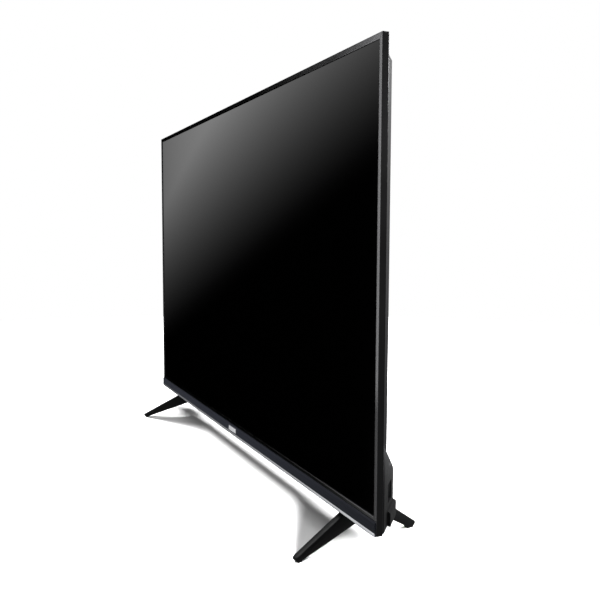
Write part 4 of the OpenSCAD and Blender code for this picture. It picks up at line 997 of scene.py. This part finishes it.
def turn_screw(radius, height, length, shank):
    """A screw along Z with its head's top at zero and its point below."""
    below = length - height
    bpy.ops.object.select_all(action="DESELECT")
    bpy.ops.mesh.primitive_cylinder_add(vertices=HEAD_SIDES, radius=radius, depth=height,
                                        location=(0, 0, -height / 2))
    screw = bpy.context.object
    settle(screw)
    bpy.ops.object.mode_set(mode="EDIT")
    pick(screw, "EDGE", lambda e: abs(middle(e).z) < TINY)
    bpy.ops.mesh.bevel(offset=RIM_SHARE * radius, segments=RIM_STEPS, affect="EDGES")
    pick(screw, "FACE", lambda f: f.normal.z < -FACING)
    bpy.ops.mesh.inset(thickness=radius - shank, depth=0.0)
    bpy.ops.mesh.extrude_region_move(TRANSFORM_OT_translate={"value": (0, 0, -below * SHANK_SHARE)})
    bpy.ops.mesh.extrude_region_move(TRANSFORM_OT_translate={"value": (0, 0, -below * POINT_SHARE)})
    bpy.ops.transform.resize(value=(SCREW_POINT, SCREW_POINT, 1), center_override=(0, 0, 0))
    bpy.ops.object.mode_set(mode="OBJECT")
    for stroke in (0.0, math.pi / 2):
        carve(screw, cross_cutter(stroke))
    alone(screw)
    bpy.ops.object.shade_smooth_by_angle(angle=SCREW_SMOOTH)
    return screw


head_r = (screw_boxes[0][1].x - screw_boxes[0][0].x) / 2
screw_long = screw_boxes[0][1].y - screw_boxes[0][0].y
first_screw = turn_screw(head_r, HEAD_H, screw_long, SCREW_SHANK_R)
print("a screw", round(screw_long / MM, 1), "mm long with a head", round(2 * head_r / MM, 1), "mm across")

# %% [markdown]
# The screw is copied into every well with its head to the rear. Each copy is turned a little further, as
# screws end up at any angle.

# %% A screw for every well
SCREW_TURN = math.radians(37.0)
HEAD_REAR = Matrix.Rotation(-math.pi / 2, 3, "X")


def set_screw(first, turn, spot, name, node):
    """A copy of a screw, turned and put in its place instead of a CAD node's solid."""
    alone(first)
    bpy.ops.object.duplicate()
    screw = bpy.context.object
    screw.rotation_euler = turn
    screw.location = spot
    settle(screw)
    mount(screw, name, "dark_screw", node)


for index, (low, high) in enumerate(screw_boxes):
    turn = (HEAD_REAR @ Matrix.Rotation(index * SCREW_TURN, 3, "Z")).to_euler()
    spot = ((low.x + high.x) / 2, high.y, (low.z + high.z) / 2)
    set_screw(first_screw, turn, spot, "cover_screw_%d" % (index + 1), "cover_screws")
bpy.data.objects.remove(first_screw, do_unlink=True)

# %% [markdown]
# The feet are held by thicker screws of the same kind, which come up through the counterbores with
# their heads down.

# %% Foot screws
FOOT_HEAD_H = 3.2 * MM
FOOT_SHANK_R = 2.0 * MM

foot_boxes = sorted(solids_of("foot_screws"), key=lambda box: (box[0].x, box[0].y))
foot_head_r = (foot_boxes[0][1].x - foot_boxes[0][0].x) / 2
foot_screw_long = foot_boxes[0][1].z - foot_boxes[0][0].z
first_foot_screw = turn_screw(foot_head_r, FOOT_HEAD_H, foot_screw_long, FOOT_SHANK_R)
for index, (low, high) in enumerate(foot_boxes):
    turn = (math.pi, 0, index * SCREW_TURN)
    spot = ((low.x + high.x) / 2, (low.y + high.y) / 2, low.z)
    set_screw(first_foot_screw, turn, spot, "foot_screw_%d" % (index + 1), "foot_screws")
bpy.data.objects.remove(first_foot_screw, do_unlink=True)

# %% [markdown]
# ### The button and the remote window
# Under the middle of the set sits the power button, beside the dark window that the remote control shines
# into. Both are small turned shapes with a collar that keeps them from falling out. Each starts as a
# cylinder, and its upper face is drawn out into the collar. The button's lower face is dished for a finger.

# %% Power button
STEM_R = 4 * MM
STEM_SIDES = 48
BUTTON_COLLAR_LOW = 1.6 * MM
BUTTON_COLLAR_HIGH = 0.6 * MM
BUTTON_DISH = 0.35 * MM
BUTTON_RIM = 0.7 * MM
DISH_SLOPE = 0.7 * MM
DISH_FLOOR = 0.9 * MM
DISH_FLOOR_SHARE = 0.3
BUTTON_EDGE = 0.25 * MM
NEAR = 0.01 * MM


def collared(node, stem_r, collar_low, collar_high):
    """A stem with a collar, from a node's box; the heights are measured down from the node's top."""
    low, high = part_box(node)
    bpy.ops.object.select_all(action="DESELECT")
    mid_x, mid_y = (low.x + high.x) / 2, (low.y + high.y) / 2
    neck_z = high.z - collar_low
    bpy.ops.mesh.primitive_cylinder_add(vertices=STEM_SIDES, radius=stem_r, depth=neck_z - low.z,
                                        location=(mid_x, mid_y, (low.z + neck_z) / 2))
    piece = bpy.context.object
    settle(piece)
    collar_r = (high.x - low.x) / 2
    widen = (collar_r / stem_r, collar_r / stem_r, 1)
    bpy.ops.object.mode_set(mode="EDIT")
    pick(piece, "FACE", lambda f: f.normal.z > FACING)
    bpy.ops.mesh.extrude_region_move(TRANSFORM_OT_translate={"value": (0, 0, 0)})
    bpy.ops.transform.resize(value=widen, center_override=(mid_x, mid_y, neck_z))
    bpy.ops.mesh.extrude_region_move(TRANSFORM_OT_translate={"value": (0, 0, collar_low - collar_high)})
    if collar_high > 0:
        bpy.ops.mesh.inset(thickness=collar_r - stem_r, depth=0.0)
        bpy.ops.mesh.extrude_region_move(TRANSFORM_OT_translate={"value": (0, 0, collar_high)})
    bpy.ops.object.mode_set(mode="OBJECT")
    return piece


button = collared("power_button", STEM_R, BUTTON_COLLAR_LOW, BUTTON_COLLAR_HIGH)
bpy.ops.object.mode_set(mode="EDIT")
button_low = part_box("power_button")[0].z
pick(button, "FACE", lambda f: f.normal.z < -FACING and f.calc_center_median().z < button_low + NEAR)
bpy.ops.mesh.inset(thickness=BUTTON_RIM, depth=0.0)
bpy.ops.mesh.inset(thickness=DISH_SLOPE, depth=-BUTTON_DISH)
bpy.ops.mesh.inset(thickness=DISH_FLOOR, depth=-DISH_FLOOR_SHARE * BUTTON_DISH)
bpy.ops.object.mode_set(mode="OBJECT")
soften(button, BUTTON_EDGE, segments=3, angle=40.0)
settle(button)
mount(button, "dished_button", "moulded_black", "power_button", body="button")

# %% [markdown]
# The window is moulded in a dark red plastic that infra-red light goes through. Its collar lies at the
# very top, and its lower rim is rounded with a wide bevel into a low dome.

# %% Remote window
LENS_COLLAR = 1.2 * MM
LENS_DOME = 1.6 * MM
LENS_EDGE = 0.15 * MM
DOME_STEPS = 6

lens = collared("ir_lens", STEM_R, LENS_COLLAR, 0.0)
bpy.ops.object.mode_set(mode="EDIT")
lens_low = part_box("ir_lens")[0].z
pick(lens, "EDGE", lambda e: middle(e).z < lens_low + NEAR)
bpy.ops.mesh.bevel(offset=LENS_DOME, segments=DOME_STEPS, affect="EDGES")
bpy.ops.object.mode_set(mode="OBJECT")
soften(lens, LENS_EDGE, segments=2, angle=50.0)
settle(lens)
mount(lens, "remote_window", "ir_window", "ir_lens")

# %% [markdown]
# ## Dress what stays
# The record names a material slot for every CAD node, and every slot has a finish of the same name. So
# the solids that stay are dressed by the record, and none can be forgotten.

# %% Dress the CAD nodes
for name, node in NODES.items():
    node.data.materials.clear()
    node.data.materials.append(FINISHES[SLOT_OF[name]])
print("dressed", len(NODES), "nodes in", len(FINISHES), "finishes")
